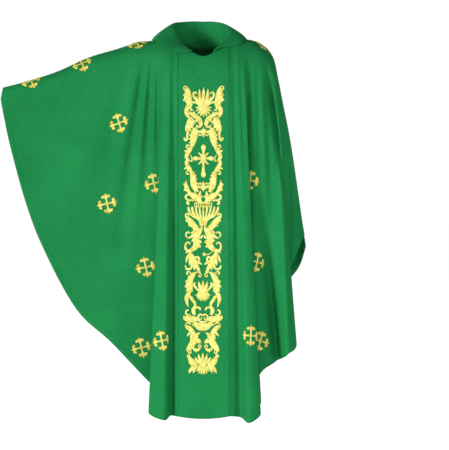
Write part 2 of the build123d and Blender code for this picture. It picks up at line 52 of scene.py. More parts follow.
# ---- sizes, as in the CAD model --------------------------------------------------------------------------
CLOTH = 2.0
PILLAR_HALF = 90.0
SEAM_X = PILLAR_HALF + 0.3
SHOULDER_Z = 12.0
SHOULDER_DROP = 115.0
FRONT_Y, BACK_Y = -125.0, 130.0
FRONT_HEM_Z, BACK_HEM_Z = -1266.0, -1238.0
HEM_DEPTH = 28.0
NECK_X, NECK_Y, NECK_CENTRE_Y = 80.0, 92.0, -8.0
NECK_FRONT = 97.5
FRONT_COLUMN_TOP_Z, BACK_COLUMN_TOP_Z = -137.0, -113.0
COLUMN_LENGTH = 994.0
CROSS_SIZE = 68.0
STABILISER_HALF, STABILISER_MARGIN = 78, 8

# Each station is one fold line of a side panel: its ridge point over the arm, then for the front and for the
# back the depth at which the cloth hangs from the arm and the point where the line meets the hem.
RIGHT_STATIONS = [
    ((-SEAM_X, 0, SHOULDER_Z), -125, (-SEAM_X, FRONT_Y, FRONT_HEM_Z), 130, (-SEAM_X, BACK_Y, BACK_HEM_Z)),
    ((-101, 0, 14),         -124, (-112, -102, -1265),        129, (-114, 112, -1236)),
    ((-114, 0, 15),         -122, (-134, -145, -1279),        126, (-142, 148, -1246)),
    ((-130, 0, 16),         -116, (-187, -121, -1251),        120, (-182, 128, -1228)),
    ((-148, 0, 16),         -104, (-136, -84, -1196),         106, (-138, 88, -1170)),
    ((-166, 0, 14),         -90, (-191, -68, -1146),          90, (-190, 66, -1126)),
    ((-190, 0, 11),         -76, (-314, -76, -1016),          76, (-312, 70, -1004)),
    ((-228, -1, 6),         -66, (-433, -56, -904),           64, (-428, 50, -887)),
    ((-300, -3, -17),       -60, (-542, -68, -703),           54, (-537, 46, -692)),
    ((-392, -6, -45),       -56, (-603, -50, -549),           44, (-599, 30, -540)),
    ((-500, -10, -93),      -52, (-655, -56, -362),           34, (-651, 20, -356)),
    ((-604, -15, -127),     -46, (-680, -44, -250),           20, (-676, 10, -246)),
    ((-684, -22, -148),     -36, (-692, -34, -187),           -6, (-689, -10, -184)),
]
LEFT_STATIONS = [
    ((SEAM_X, 0, SHOULDER_Z), -125, (SEAM_X, FRONT_Y, FRONT_HEM_Z), 130, (SEAM_X, BACK_Y, BACK_HEM_Z)),
    ((101, 0, 14),          -124, (126, -104, -1270),         129, (128, 112, -1234)),
    ((115, 0, 15),          -122, (156, -145, -1288),         127, (160, 150, -1256)),
    ((133, 0, 15),          -118, (195, -124, -1255),         122, (198, 128, -1226)),
    ((154, 0, 16),          -110, (150, -90, -1206),          114, (162, 98, -1172)),
    ((180, 0, 9),           -102, (203, -86, -1110),          104, (206, 92, -1114)),
    ((204, 0, -5),         -93, (250, -80, -1079),           96, (250, 106, -1082)),
    ((224, -1, -23),        -84, (284, -102, -1058),          88, (232, 80, -1052)),
    ((241, -2, -53),        -76, (317, -80, -1018),           80, (272, 90, -1018)),
    ((254, -3, -112),       -66, (266, -56, -905),            68, (246, 60, -935)),
    ((271, -4, -200),       -56, (288, -50, -790),            56, (268, 62, -840)),
    ((300, -5, -350),       -46, (318, -48, -712),            44, (326, 46, -762)),
    ((338, -6, -610),       -26, (345, -24, -652),            20, (350, 14, -690)),
]
# The collar, from its front point round to the back of the neck: outer edge, inner edge. The right side
# lies wider.
COLLAR_LEFT = [
    ((40, -101, -23), (36, -98, -20)),
    ((60, -84, -12), (48, -82, -10)),
    ((80, -78, -8), (61, -65, 1)),
    ((103, -75, -6), (72, -48, 13)),
    ((126, -66, 0), (81, -29, 25)),
    ((140, -42, 11), (86, -9, 40)),
    ((150, 2, 17), (81, 24, 64)),
    ((138, 50, 5), (62, 56, 79)),
    ((88, 84, -13), (31, 71, 87)),
    ((40, 109, -37), (10, 76, 89)),
]
COLLAR_BACK = ((0, 119, -52), (0, 77, 89))
COLLAR_RIGHT = [
    ((-44, -103, -27), (-40, -98, -23)),
    ((-68, -104, -31), (-50, -84, -16)),
    ((-92, -102, -29), (-61, -69, -6)),
    ((-117, -92, -20), (-73, -49, 3)),
    ((-146, -66, -3), (-88, -25, 26)),
    ((-169, -20, 15), (-101, -3, 54)),
    ((-177, 18, 16), (-98, 26, 77)),
    ((-146, 52, 5), (-66, 57, 84)),
    ((-92, 84, -13), (-32, 71, 88)),
    ((-40, 109, -37), (-10, 76, 89)),
]
COLLAR_BULGE = 6.0
COLLAR_THICK = 3.4
# Shares of the collar's width from its outer edge: its columns, close together by the stitched line, and
# that line's place, half width and depth. Smoothing sets in at column ROLL_FROM and is full from ROLL_TO on.
COLLAR_COLUMNS = np.concatenate([np.linspace(0, 0.08, 13), np.linspace(0.12, 1, 22)])
COLLAR_STITCHING, COLLAR_GROOVE_HALF, COLLAR_GROOVE = 0.05, 0.014, 2.0
ROLL_FROM, ROLL_TO = 22, 30

# Small crosses: x and z of the middle, turn in degrees.
RIGHT_FRONT_CROSSES = [
    (-226, 2, 12), (-414, -66, 14), (-588, -126, 16), (-287, -270, 18), (-168, -475, 14), (-328, -544, 12),
    (-196, -760, 12), (-211, -1034, 14), (-141, -1009, 12),
]
RIGHT_BACK_CROSSES = [(-250, -250, -20), (-400, -400, 12), (-165, -402, 0), (-300, -690, 5), (-150, -900, 0)]
LEFT_FRONT_CROSSES = [(206, -8, -12), (158, -465, -10), (182, -742, -14), (161, -992, -3), (193, -1011, -16)]
LEFT_BACK_CROSSES = [(236, -222, 45), (158, -404, 0), (182, -700, 0), (166, -930, 0)]


# ---- curves and grids of points --------------------------------------------------------------------------
def through(values, t):
    """Points at t (an array, 0 to 1) of a smooth curve through values."""
    values = np.asarray(values, float)
    last = len(values) - 1
    at = np.asarray(t, float) * last
    i = np.minimum(at.astype(int), last - 1)
    f = (at - i)[..., None] if values.ndim > 1 else at - i
    a, b = values[np.maximum(i - 1, 0)], values[i]
    c, d = values[i + 1], values[np.minimum(i + 2, last)]
    p, q = (c - a) / 2, (d - b) / 2
    return ((2 * f**3 - 3 * f**2 + 1) * b + (f**3 - 2 * f**2 + f) * p
            + (3 * f**2 - 2 * f**3) * c + (f**3 - f**2) * q)


def normals(grid):
    """Unit normals of a grid of points, shaped (rows, columns, 3)."""
    along = np.gradient(grid, axis=0)
    across = np.gradient(grid, axis=1)
    n = np.cross(along, across)
    return n / np.maximum(np.linalg.norm(n, axis=2, keepdims=True), 1e-9)


def ramp(v, start, end):
    """0 up to start, 1 from end on, smooth between."""
    t = np.clip((v - start) / (end - start), 0, 1)
    return t * t * (3 - 2 * t)


def sway(points):
    """The slow wave that the whole garment hangs in, the same for every layer at one place."""
    p = np.array(points, float)
    hang = ramp(-p[..., 2], 150, 1250)
    p[..., 1] += hang * (3.0 * np.sin(p[..., 0] / 34 + p[..., 2] / 210) + 2.0 * np.sin(p[..., 2] / 95 + 1.3))
    return p


# ---- meshes ----------------------------------------------------------------------------------------------
def add_mesh(name, points, faces, material, uv=None):
    """Smooth-shaded mesh of points in millimetres. uv gives each point's thread coordinates."""
    mesh = bpy.data.meshes.new(name)
    points = np.asarray(points, float).reshape(-1, 3) * MM
    mesh.from_pydata(points.tolist(), [], faces)
    mesh.update()
    mesh.polygons.foreach_set("use_smooth", [True] * len(mesh.polygons))
    if uv is not None:
        layer = mesh.uv_layers.new(name="thread")
        loops = np.zeros(len(mesh.loops), int)
        mesh.loops.foreach_get("vertex_index", loops)
        layer.data.foreach_set("uv", np.asarray(uv, float)[loops].ravel())
    mesh.materials.append(material)
    obj = bpy.data.objects.new(name, mesh)
    bpy.context.collection.objects.link(obj)
    return obj


def quads_of(index, flipped=False):
    """Faces between the neighbouring rows and columns of a grid of point numbers."""
    a, b, c, d = index[:-1, :-1], index[1:, :-1], index[1:, 1:], index[:-1, 1:]
    return np.stack([a, d, c, b] if flipped else [a, b, c, d], -1).reshape(-1, 4)


def joined(solids):
    """Points and faces of several solids as one."""
    points, faces = [], []
    for more, quads in solids:
        faces += [[index + len(points) for index in quad] for quad in quads]
        points += list(more)
    return points, faces


def closed_sheet(outer, inner):
    """Points and faces of the closed solid between two grids of points."""
    rows, columns = outer.shape[:2]
    points = np.concatenate([outer.reshape(-1, 3), inner.reshape(-1, 3)])
    at = np.arange(rows * columns).reshape(rows, columns)
    below = at + rows * columns
    rim = np.concatenate([at[:, 0], at[-1, 1:], at[-2::-1, -1], at[0, -2:0:-1]])
    rim_low = rim + rows * columns
    turn = np.roll(np.arange(len(rim)), -1)
    walls = np.stack([rim, rim_low, rim_low[turn], rim[turn]], -1)
    return points, np.concatenate([quads_of(at), quads_of(below, flipped=True), walls]).tolist()


# ---- side panels -----------------------------------------------------------------------------------------
ARC_STEPS, FALL_STEPS, STATION_STEPS = 12, 66, 14
# Columns close to a hem, as distances from it, and the distance of its stitching.
HEM_COLUMNS = np.array([36, 31, 28, 26.4, 25.2, 24, 22.8, 21.6, 20, 16, 8, 0.0])
HEM_STITCHING = 24.0


def hem_groove(distance):
    """Depth of the pressed-in line where a hem is stitched."""
    return 1.1 * np.exp(-(((distance - HEM_STITCHING) / 1.7) ** 2))


# Soft folds on a side panel: the station where it runs (or its stations at the top and at the hem), half
# width in stations, height (minus for a valley), and the share of the way down to the hem where it starts,
# is fullest and dies out.
RIGHT_FRONT_FOLDS = [
    (6.12, 0.26, -12, 0.02, 0.20, 0.90), (5.74, 0.20, 7, 0.04, 0.22, 0.85),
    (5.38, 0.24, -8, 0.02, 0.16, 0.50),
    (6.62, 0.30, 6, 0.03, 0.22, 0.85), (7.15, 0.28, -4, 0.04, 0.22, 0.65), (4.95, 0.24, 4, 0.03, 0.16, 0.45),
    (4.5, 0.26, -4, 0.05, 0.16, 0.45), (3.95, 0.22, 3, 0.05, 0.14, 0.35), (3.1, 0.3, -2, 0.05, 0.12, 0.35),
    (7.7, 0.34, 3, 0.05, 0.3, 0.8), (8.6, 0.5, -2.0, 0.25, 0.60, 1.00),
]
RIGHT_BACK_FOLDS = [
    (6.1, 0.34, -13, 0.02, 0.22, 0.95), (5.5, 0.26, 8, 0.02, 0.20, 0.80), (4.9, 0.26, -8, 0.02, 0.14, 0.45),
    (6.8, 0.34, 6, 0.05, 0.30, 0.90), (7.6, 0.36, -6, 0.10, 0.40, 0.95), (8.7, 0.45, 5, 0.25, 0.60, 1.10),
]
LEFT_FRONT_FOLDS = [
    (0.45, 0.34, 5, 0.10, 0.45, 3.0), (1.45, 0.24, 3, 0.05, 0.14, 0.40), (2.3, 0.24, -3, 0.05, 0.14, 0.50),
    (3.0, 0.26, 4, 0.06, 0.18, 0.60), (3.75, 0.32, -9, 0.04, 0.20, 0.85), (4.6, 0.34, 8, 0.05, 0.25, 1.4),
    ((4.4, 6.1), 0.42, -36, 0.42, 0.88, 3.0), ((6.2, 10.4), 0.42, -24, 0.03, 0.20, 0.60),
    (5.55, 0.40, 9, 0.04, 0.20, 0.70), ((7.8, 7.1), 0.34, 14, 0.20, 0.45, 1.6),
    (8.4, 0.35, -8, 0.35, 0.60, 1.4),
    (9.4, 0.40, 8, 0.10, 0.40, 1.0), (10.4, 0.35, -6, 0.10, 0.45, 1.0),
]
LEFT_BACK_FOLDS = [
    (3.4, 0.28, 7, 0.03, 0.14, 0.60), (4.3, 0.32, -9, 0.03, 0.16, 0.80), (5.4, 0.34, 7, 0.04, 0.20, 0.80),
    (6.6, 0.38, -12, 0.06, 0.25, 0.95), (8.3, 0.40, 9, 0.08, 0.35, 0.95), (9.6, 0.45, -7, 0.15, 0.45, 0.95),
]


def fall(ridge, depth, hem, folds):
    """Grid of one side of a panel: a row for each fold line, from the ridge (first column) to the hem."""
    rows = len(ridge)
    height = np.maximum(ridge[:, 2] - hem[:, 2], 1)
    arm = np.clip(SHOULDER_DROP * np.abs(depth) / 120, 40, SHOULDER_DROP)
    rounding = np.minimum(0.5, arm / height)[:, None]
    angles = np.pi / 2 * np.arange(ARC_STEPS) / ARC_STEPS
    straight = np.arange(FALL_STEPS + 1) / FALL_STEPS
    hem_share = np.minimum(1, height / 200)[:, None] * (HEM_COLUMNS / height[:, None])
    stop = 1 - hem_share[:, :1] - 0.01
    v = np.concatenate(
        [rounding * (1 - np.cos(angles)), rounding + (stop - rounding) * straight, 1 - hem_share], 1)
    round_y = np.concatenate([np.sin(angles), np.ones(FALL_STEPS + 1 + len(HEM_COLUMNS))])[None]
    fold = (hem[:, 1] - depth)[:, None]
    station = np.linspace(0, len(RIGHT_STATIONS) - 1, rows)[:, None]
    power = 0.85 + 0.6 * ramp(station, 4, 7)
    x = ridge[:, :1] + (hem[:, :1] - ridge[:, :1]) * v
    z = ridge[:, 2:] + (hem[:, 2:] - ridge[:, 2:]) * v
    y = ridge[:, 1:2] + (depth[:, None] - ridge[:, 1:2]) * round_y + fold * v**power
    outward = np.sign(depth)[:, None]
    seam_free = ramp(station, 0, 0.6)
    groove = np.concatenate([np.zeros(ARC_STEPS + FALL_STEPS + 1), hem_groove(HEM_COLUMNS)])
    y = y - outward * groove * np.minimum(1, height / 200)[:, None]
    for where, half, rise, begin, full, end in folds:
        high, low = where if isinstance(where, tuple) else (where, where)
        shape = np.exp(-(((station - high - (low - high) * v) / half) ** 2))
        along = ramp(v, begin, full) * (1 - ramp(v, full + 0.3 * (end - full), end))
        y = y + outward * rise * shape * along * seam_free
    return np.stack([x, y, z], -1)


def side_grid(stations, front_folds, back_folds):
    """Dense grid of a side panel: one row for each fold line, from the front hem over the arm to the back
    hem. Its first row is the seam allowance, just under the edge of the centre panel."""
    t = np.linspace(0, 1, (len(stations) - 1) * STATION_STEPS + 1)
    ridge, front, front_hem, back, back_hem = (through([s[n] for s in stations], t) for n in range(5))
    front_grid = fall(ridge, front, front_hem, front_folds)
    back_grid = fall(ridge, back, back_hem, back_folds)
    grid = np.concatenate([front_grid[:, ::-1], back_grid[:, 1:]], 1)
    allowance = grid[:1].copy()
    allowance[..., 0] *= 1 - 3 / SEAM_X
    allowance[..., 1] -= 0.7 * np.sign(allowance[..., 1])
    allowance[..., 2] -= 0.7
    return np.concatenate([allowance, grid])


# Small creases near the wing's hem: x, z, direction in degrees, length, half width, depth, all on the front.
CREASES = [
    (-548, -700, -50, 70, 7, -2.2), (-500, -760, -46, 60, 6, -2.2), (-462, -800, -44, 80, 7, -2.4),
    (-410, -868, -38, 90, 7, -2.4), (-372, -915, -36, 90, 7, -2.0), (-520, -660, -55, 90, 9, -1.6),
    (-440, -730, -50, 110, 10, 1.6), (-380, -820, -44, 110, 11, 1.6), (-320, -930, -36, 90, 9, -1.6),
]


def crease(grid, creases, side):
    """The grid with short soft creases pressed into its front (side -1) or back (side 1)."""
    g = grid.copy()
    facing = np.sign(normals(grid)[..., 1] * side) > 0
    for x, z, turn, length, half, depth in creases:
        c, s = math.cos(math.radians(turn)), math.sin(math.radians(turn))
        dx, dz = grid[..., 0] - x, grid[..., 2] - z
        along, across = dx * c + dz * s, -dx * s + dz * c
        shape = np.exp(-((across / half) ** 2) - (along / (length / 2)) ** 4)
        g[..., 1] += side * depth * shape * facing
    return g


# ---- embroidery strokes ----------------------------------------------------------------------------------
# A stroke is a list of (x, drop, half width): a line of satin stitch seen from the front, with x from the
# middle of the column and drop from its top.
def at(values, t):
    """One point of the smooth curve through values."""
    return tuple(through(values, np.array([t]))[0])


def leaf(x0, d0, x1, d1, bend=0.0, half=5.0, steps=14):
    """Pointed leaf from its base to its tip. bend moves its middle to the left of the way it points."""
    mx, md = (x0 + x1) / 2 + bend * (d1 - d0), (d0 + d1) / 2 - bend * (x1 - x0)
    stroke = []
    for k in range(steps + 1):
        t = k / steps
        x = (1 - t) ** 2 * x0 + 2 * t * (1 - t) * mx + t * t * x1
        d = (1 - t) ** 2 * d0 + 2 * t * (1 - t) * md + t * t * d1
        stroke.append((x, d, max(0.3, half * math.sin(math.pi * min(1, 0.12 + 0.88 * t)) ** 0.75)))
    return stroke


def curl(x, d, radius, start, turn, half=2.6, steps=26):
    """Spiral that ends in the middle. start is the angle of its outer end, turn how far it winds, both in
    degrees."""
    stroke = []
    for k in range(steps + 1):
        t = k / steps
        angle = math.radians(start + turn * t)
        r = radius * (1 - 0.78 * t)
        stroke.append((x + r * math.cos(angle), d + r * math.sin(angle), half * (0.55 + 0.45 * t)))
    return stroke


def dot(x, d, radius):
    """Round spot of stitches."""
    angles = [math.pi * k / 10 for k in range(11)]
    return [(x, d - radius * math.cos(a), max(0.3, radius * math.sin(a))) for a in angles]


def band(points, half, steps=22):
    """Even band along a smooth curve through points, with narrowed ends."""
    stroke = []
    for k in range(steps + 1):
        t = k / steps
        x, d = at(points, t)
        stroke.append((x, d, half * (0.35 + 0.65 * math.sin(math.pi * min(max(t, 0.05), 0.95)) ** 0.5)))
    return stroke


def rays(x, d, inner, outer, start, end, count, half=2.4):
    """Spikes round a point, from the angle start to end in degrees, 90 pointing down."""
    strokes = []
    for k in range(count):
        a = math.radians(start + (end - start) * k / (count - 1))
        c, s = math.cos(a), math.sin(a)
        strokes.append(leaf(x + inner * c, d + inner * s, x + outer * c, d + outer * s, 0, half, 9))
    return strokes


def pair(strokes):
    """The strokes and their mirror images."""
    return strokes + [[(-x, d, half) for x, d, half in stroke] for stroke in strokes]


def smoothed(stroke, steps=22):
    """Stroke with more points, on the smooth curve through those given."""
    return [at(stroke, k / steps) for k in range(steps + 1)]


def toothed(stroke, teeth, side, length=9.0, half=4.0):
    """Broad leaf along a stroke, with teeth along one side (1) or the other (-1)."""
    strokes = [smoothed(stroke)]
    for k in range(teeth):
        t = (k + 0.8) / (teeth + 1.0)
        (x, d, wide), (xn, dn, _) = at(stroke, t), at(stroke, min(1, t + 0.04))
        size = math.hypot(xn - x, dn - d)
        ux, ud = (xn - x) / size, (dn - d) / size
        ox, od = side * ud, -side * ux
        start = wide * 0.45
        reach = wide + length * 0.45
        strokes.append(
            leaf(
                x + ox * start, d + od * start, x + ox * reach + ux * length * 0.6,
                d + od * reach + ud * length * 0.6, 0.08 * side, half, 8))
    return strokes


def top_palmette():
    shell = smoothed([(0, 46, 9), (0, 60, 14), (0, 76, 17), (0, 88, 14), (0, 96, 5)])
    crown = [leaf(0, 84, 0, 5, 0, 7.5)]
    sides = [
        leaf(-4, 80, -15, 10, 0.08, 6.5), leaf(-10, 74, -25, 36, 0.14, 6),
        band([(-17, 60), (-27, 48), (-35, 36), (-35, 25), (-27, 22)], 4.6), dot(-25, 26, 3.4),
        band([(-14, 66), (-28, 58), (-40, 58), (-46, 70)], 4)]
    return [shell] + crown + pair(sides) + rays(0, 79, 12, 29, -10, 190, 9, 3.9)


def corner_leaves():
    upper = toothed(
        [(-59, 5, 4), (-55, 17, 9), (-55, 31, 13.5), (-54, 46, 15.5), (-47, 58, 11), (-42, 66, 4)], 4, -1)
    lower = toothed([(-41, 108, 6), (-45, 120, 13.5), (-47, 131, 14.5), (-55, 145, 11), (-59, 157, 6)], 4, 1)
    tail = [band([(-58, 154), (-57, 170), (-57, 182), (-62, 188), (-69, 183)], 4.4), dot(-67, 181, 4.2),
            curl(-51, 162, 5.5, 60, 260, 2.8)]
    return pair(upper + lower + [curl(-65, 9, 8, -30, -300, 4)] + tail)


def upper_scrolls():
    return pair([
        smoothed([(-46, 65, 4), (-56, 74, 8), (-60, 88, 9), (-57, 101, 7), (-50, 110, 3)], 26),
        smoothed(
            [
                (-52, 92, 6), (-40, 98, 7), (-28, 105, 8.5), (-17, 115, 10), (-11, 125, 8.5),
                (-9, 134, 6.5), (-14, 141, 5), (-21, 141, 4), (-25, 135, 3)],
            30),
        leaf(-30, 103, -34, 87, 0.1, 4.5), leaf(-22, 116, -30, 126, 0.1, 4),
        band([(-40, 64), (-46, 74), (-44, 82), (-37, 84)], 4)])


def frame_fleurs():
    shapes = []
    for d, way in ((158, 1), (348, -1)):
        shapes += [
            leaf(0, d + 18 * way, 0, d - 16 * way, 0, 6.5), leaf(0, d + 6 * way, -9, d - 9 * way, 0, 4),
            leaf(0, d + 6 * way, 9, d - 9 * way, 0, 4)]
        shapes += pair([
            band([(0, d + 2 * way), (-13, d), (-27, d - 3 * way)], 4.6),
            curl(-11, d + 9 * way, 7.5, -90 * way, -290 * way, 3)])
    return shapes


def frame_leaves():
    upper = toothed(
        [(-27, 143, 4), (-29, 155, 11), (-32.5, 170, 14.5), (-36, 188, 12.5), (-39, 204, 8), (-41, 211, 4)],
        6, -1, 7, 3.4)
    lower = toothed(
        [(-41, 293, 4), (-39, 304, 9), (-36, 320, 12), (-33, 341, 12.5), (-27, 358, 8), (-27, 368, 3)], 6,
        1, 7, 3.4)
    return pair(upper + lower)


def side_scrolls():
    upper = [
        smoothed([
            (-40, 207, 4), (-47, 219, 8), (-55, 231, 8.5), (-60, 243, 7), (-57, 251, 5), (-50, 250, 3.5)]),
        leaf(-50, 228, -69, 221, 0.1, 4.6), leaf(-56, 238, -49, 228, 0.1, 3),
        curl(-55, 208, 7.5, 60, 290, 4)]
    lower = [[(x, 508 - d, half) for x, d, half in stroke] for stroke in upper]
    sprig = [band([(-47, 238), (-41, 246), (-40, 262)], 2.2), leaf(-41, 256, -50, 262, 0.1, 2.6)]
    return pair(upper + lower + sprig)


def medallion_cross():
    upright = [
        (0, 202, 2), (0, 208, 9), (0, 216, 9), (0, 226, 5.5), (0, 258, 5), (0, 290, 5.5), (0, 302, 9),
        (0, 310, 9), (0, 316, 2)]
    arm = [
        (-37, 250, 2), (-32, 250, 8), (-24, 250, 8), (-16, 250, 5), (0, 250, 5), (16, 250, 5), (24, 250, 8),
        (32, 250, 8), (37, 250, 2)]
    rays_out = [leaf(-4, 254, -19, 271, 0.1, 3.6), leaf(-4, 246, -19, 229, -0.1, 3.6)]
    return [smoothed(upright, 40), smoothed(arm, 40)] + pair(rays_out)


def flame_leaves():
    flame = toothed([(-60, 324, 1), (-62, 336, 5), (-60, 348, 9), (-55, 359, 8), (-47, 368, 5)], 2, -1, 8, 4)
    wings = [
        smoothed([
            (-53, 366, 4), (-42, 374, 9), (-31, 381, 13), (-21, 388, 13), (-14, 395, 8), (-9, 401, 3)]),
        leaf(-14, 384, -10, 361, 0.05, 5.5),
        smoothed([(-4, 378, 2), (-9, 383, 3), (-10, 392, 3.4), (-6, 400, 3), (0, 402, 2)]),
        band([(-44, 376), (-54, 374), (-62, 380), (-60, 389), (-53, 390)], 4.2),
        band([(-34, 396), (-46, 393), (-55, 398), (-55, 406), (-48, 405)], 4.6)]
    return pair(flame + wings) + [smoothed([(-6, 380, 1.4), (0, 383, 2.6), (6, 380, 1.4)], 8)]


def chalice_bowl():
    rim = [smoothed([(-32, d, 1.6), (0, d, 2), (32, d, 1.6)], 20) for d in (403, 416)]
    rim += [smoothed([(-29.7 + 6.6 * k, 403, 1.9), (-29.7 + 6.6 * k, 416, 1.9)], 4) for k in range(10)]
    flutes = []
    for k in range(9):
        x = -52 + 13 * k
        half = 3.4 + 0.03 * abs(x)
        flute = [
            (x * 1.02, 415, 2.5), (x, 422, half), (x * 0.93, 434, half), (x * 0.7, 448, half * 0.9),
            (x * 0.4, 457, 3.4), (x * 0.3, 464, 2)]
        flutes.append(smoothed(flute, 16))
    neck = [smoothed([(-17, 461, 2.5), (0, 462, 5), (17, 461, 2.5)], 12)]
    stem = [
        smoothed([(x, 462, 3), (x * 0.8, 472, 3.4), (x * 0.75, 482, 2.6)], 8) for x in (-13, -4.5, 4.5, 13)]
    return rim + flutes + neck + stem


def wing_leaves():
    blade = toothed(
        [(-59, 448, 4), (-54, 457, 9), (-45, 468, 12), (-33, 481, 11.5), (-22, 491, 9), (-13, 500, 4)], 3,
        -1, 7)
    return pair(
        blade
        + [
            band([(-62, 454), (-62, 444), (-56, 440), (-49, 446)], 3.8),
            leaf(-30, 498, -44, 508, 0.05, 4.5), leaf(-24, 504, -54, 525, 0.1, 6),
            band([(-48, 526), (-60, 518), (-60, 507), (-52, 503), (-47, 508)], 3.2),
            smoothed([(-5, 483, 3), (-8, 495, 6), (-13, 506, 7), (-17, 518, 4)])])


def bird_scrolls():
    body = [
        smoothed(
            [
                (-19, 498, 6), (-25, 512, 10), (-25, 528, 13), (-23, 542, 13), (-29, 555, 11),
                (-41, 564, 8), (-54, 568, 6), (-62, 560, 4.4), (-63, 548, 4), (-57, 539, 3.4),
                (-49, 540, 3), (-48, 546, 2)],
            44),
        leaf(-20, 530, -5, 541, 0.05, 6), leaf(-20, 545, -9, 556, 0.05, 6),
        leaf(-26, 524, -42, 536, -0.1, 5), leaf(-46, 564, -63, 575, 0.05, 5),
        band([(-17, 512), (-13, 521), (-6, 521), (-3, 513)], 4)]
    return pair(body)


def bud_sprig():
    return [dot(4, 579, 6.5), band([(8, 580), (16, 580), (26, 576), (34, 569)], 2.2)]


def hanging_leaves():
    spine = [
        smoothed(
            [(-46, 573, 5), (-41, 588, 10), (-33, 602, 12), (-25, 616, 9), (-17, 630, 6), (-11, 646, 4)],
            26)]
    fingers = [
        leaf(-48, 576, -62, 609, -0.08, 5.5), leaf(-44, 586, -49, 618, 0, 5.5),
        leaf(-38, 594, -42, 628, 0, 5.5), leaf(-30, 604, -31, 636, 0, 5.5),
        leaf(-26, 602, -4, 615, 0.05, 5)]
    hooks = [
        band([(-38, 584), (-28, 590), (-18, 589), (-14, 598), (-19, 604)], 4.4),
        curl(-12, 652, 7, -70, 290, 3.6),
        band([(-64, 617), (-60, 628), (-50, 631), (-41, 624), (-38, 616)], 4.4)]
    return pair(spine + fingers + hooks)


def mid_leaves():
    blade = toothed(
        [(-26, 641, 4), (-36, 652, 8), (-46, 668, 12), (-50, 684, 14), (-48, 698, 13), (-42, 710, 6)], 5,
        -1, 8)
    return pair(
        blade
        + [
            curl(-54, 645, 9, 40, -300, 3.8), band([(-30, 648), (-22, 640), (-14, 642)], 3),
            leaf(-38, 680, -32, 692, 0, 3.4)])


def small_palmette():
    shell = smoothed([(0, 688, 9), (0, 700, 18), (0, 714, 22), (0, 726, 17), (0, 733, 5)])
    return (
        [shell, leaf(0, 712, 0, 668, 0, 6)]
        + pair([
            leaf(-4, 710, -16, 671, 0.08, 6), band([(-14, 706), (-26, 694), (-32, 684), (-28, 676)], 4.8)])
        + rays(0, 713, 14, 29, 14, 166, 9, 3.6))


def crescent_scrolls():
    return pair([
        smoothed([(-43, 704, 4), (-54, 716, 8), (-60, 730, 9), (-59, 744, 6), (-54, 760, 1.5)], 24),
        smoothed([(-50, 722, 5), (-40, 734, 6), (-31, 746, 6), (-28, 760, 5)], 20),
        leaf(-40, 736, -41, 722, 0, 4),
        smoothed([(-29, 758, 4), (-35, 768, 8), (-35, 778, 8), (-30, 788, 5)]),
        band([(-32, 766), (-22, 762), (-13, 764), (-9, 772)], 4.2),
        band([(-46, 786), (-58, 788), (-64, 780), (-60, 772), (-53, 772)], 3.8)])


def winged_heart():
    plates = [
        smoothed(
            [(-71, 790, 2), (-68, 797, 8), (-56, 801, 12), (-40, 802, 12.5), (-26, 802, 10), (-18, 803, 6)],
            22)]
    shell = [smoothed([(-34, 812, 5), (-22, 822, 10), (-8, 828, 13)], 16)]
    fan = [leaf(-5 - 7.5 * k, 822, -6 - 8.5 * k, 844 - 2.6 * k * k * 0.6, 0.02, 6) for k in range(5)]
    drop = [
        smoothed([(-68, 822, 1.5), (-58, 829, 8), (-48, 836, 9.5), (-38, 845, 8), (-29, 855, 4)], 18),
        leaf(-44, 841, -60, 861, 0.05, 5), leaf(-38, 846, -47, 873, 0.05, 6),
        leaf(-33, 850, -36, 866, 0, 4)]
    ring = [
        smoothed(
            [
                (0, 791, 2.6), (-7, 786, 3.6), (-15, 789, 3.6), (-18, 799, 3.6), (-13, 809, 3.6),
                (-5, 812, 3.4), (0, 812, 3)],
            26),
        curl(-8, 799, 6.5, 200, -300, 2.6)]
    return pair(plates + shell + fan + drop + ring + [band([(-44, 820), (-56, 814), (-64, 820)], 3.2)]) + [
        smoothed([(0, 808, 4), (0, 826, 11), (0, 842, 5)], 10)]


def foot_leaves():
    blade = [
        smoothed([
            (-18, 850, 4), (-25, 861, 9), (-31, 874, 14), (-41, 889, 13), (-52, 903, 10), (-60, 913, 5)]),
        leaf(-27, 872, -6, 885, 0.1, 9)]
    return pair(
        blade
        + [
            curl(-50, 916, 7, -60, 300, 3.6), band([(-38, 896), (-30, 908), (-18, 908), (-9, 900)], 5.4),
            curl(-13, 896, 7, 40, -290, 3.2), leaf(-26, 902, -24, 918, 0, 4),
            leaf(-22, 856, -10, 848, 0, 3.4)])


def bottom_palmette():
    shell = smoothed([(0, 940, 8), (0, 952, 14), (0, 966, 19), (0, 978, 14), (0, 984, 5)])
    crown = [leaf(0, 962, 0, 917, 0, 6.5)] + pair([
        leaf(-5, 958, -17, 920, 0.06, 6), leaf(-12, 954, -30, 932, 0.1, 5)])
    corners = [
        smoothed([(-52, 926, 3), (-49, 937, 8), (-41, 949, 13), (-29, 957, 11), (-18, 960, 6)], 18),
        curl(-55, 930, 7, 60, -300, 3.6),
        smoothed([(-26, 963, 4), (-36, 968, 8), (-46, 977, 7), (-52, 988, 1.5)]),
        leaf(-28, 968, -37, 988, 0.05, 5)]
    return [shell] + crown + pair(corners) + rays(0, 962, 12, 32, 18, 162, 8, 4.6)


MOTIFS = [
    top_palmette, corner_leaves, upper_scrolls, frame_fleurs, frame_leaves, side_scrolls, medallion_cross,
    flame_leaves, chalice_bowl, wing_leaves, bird_scrolls, bud_sprig, hanging_leaves, mid_leaves,
    small_palmette,
    crescent_scrolls, winged_heart, foot_leaves, bottom_palmette,
]


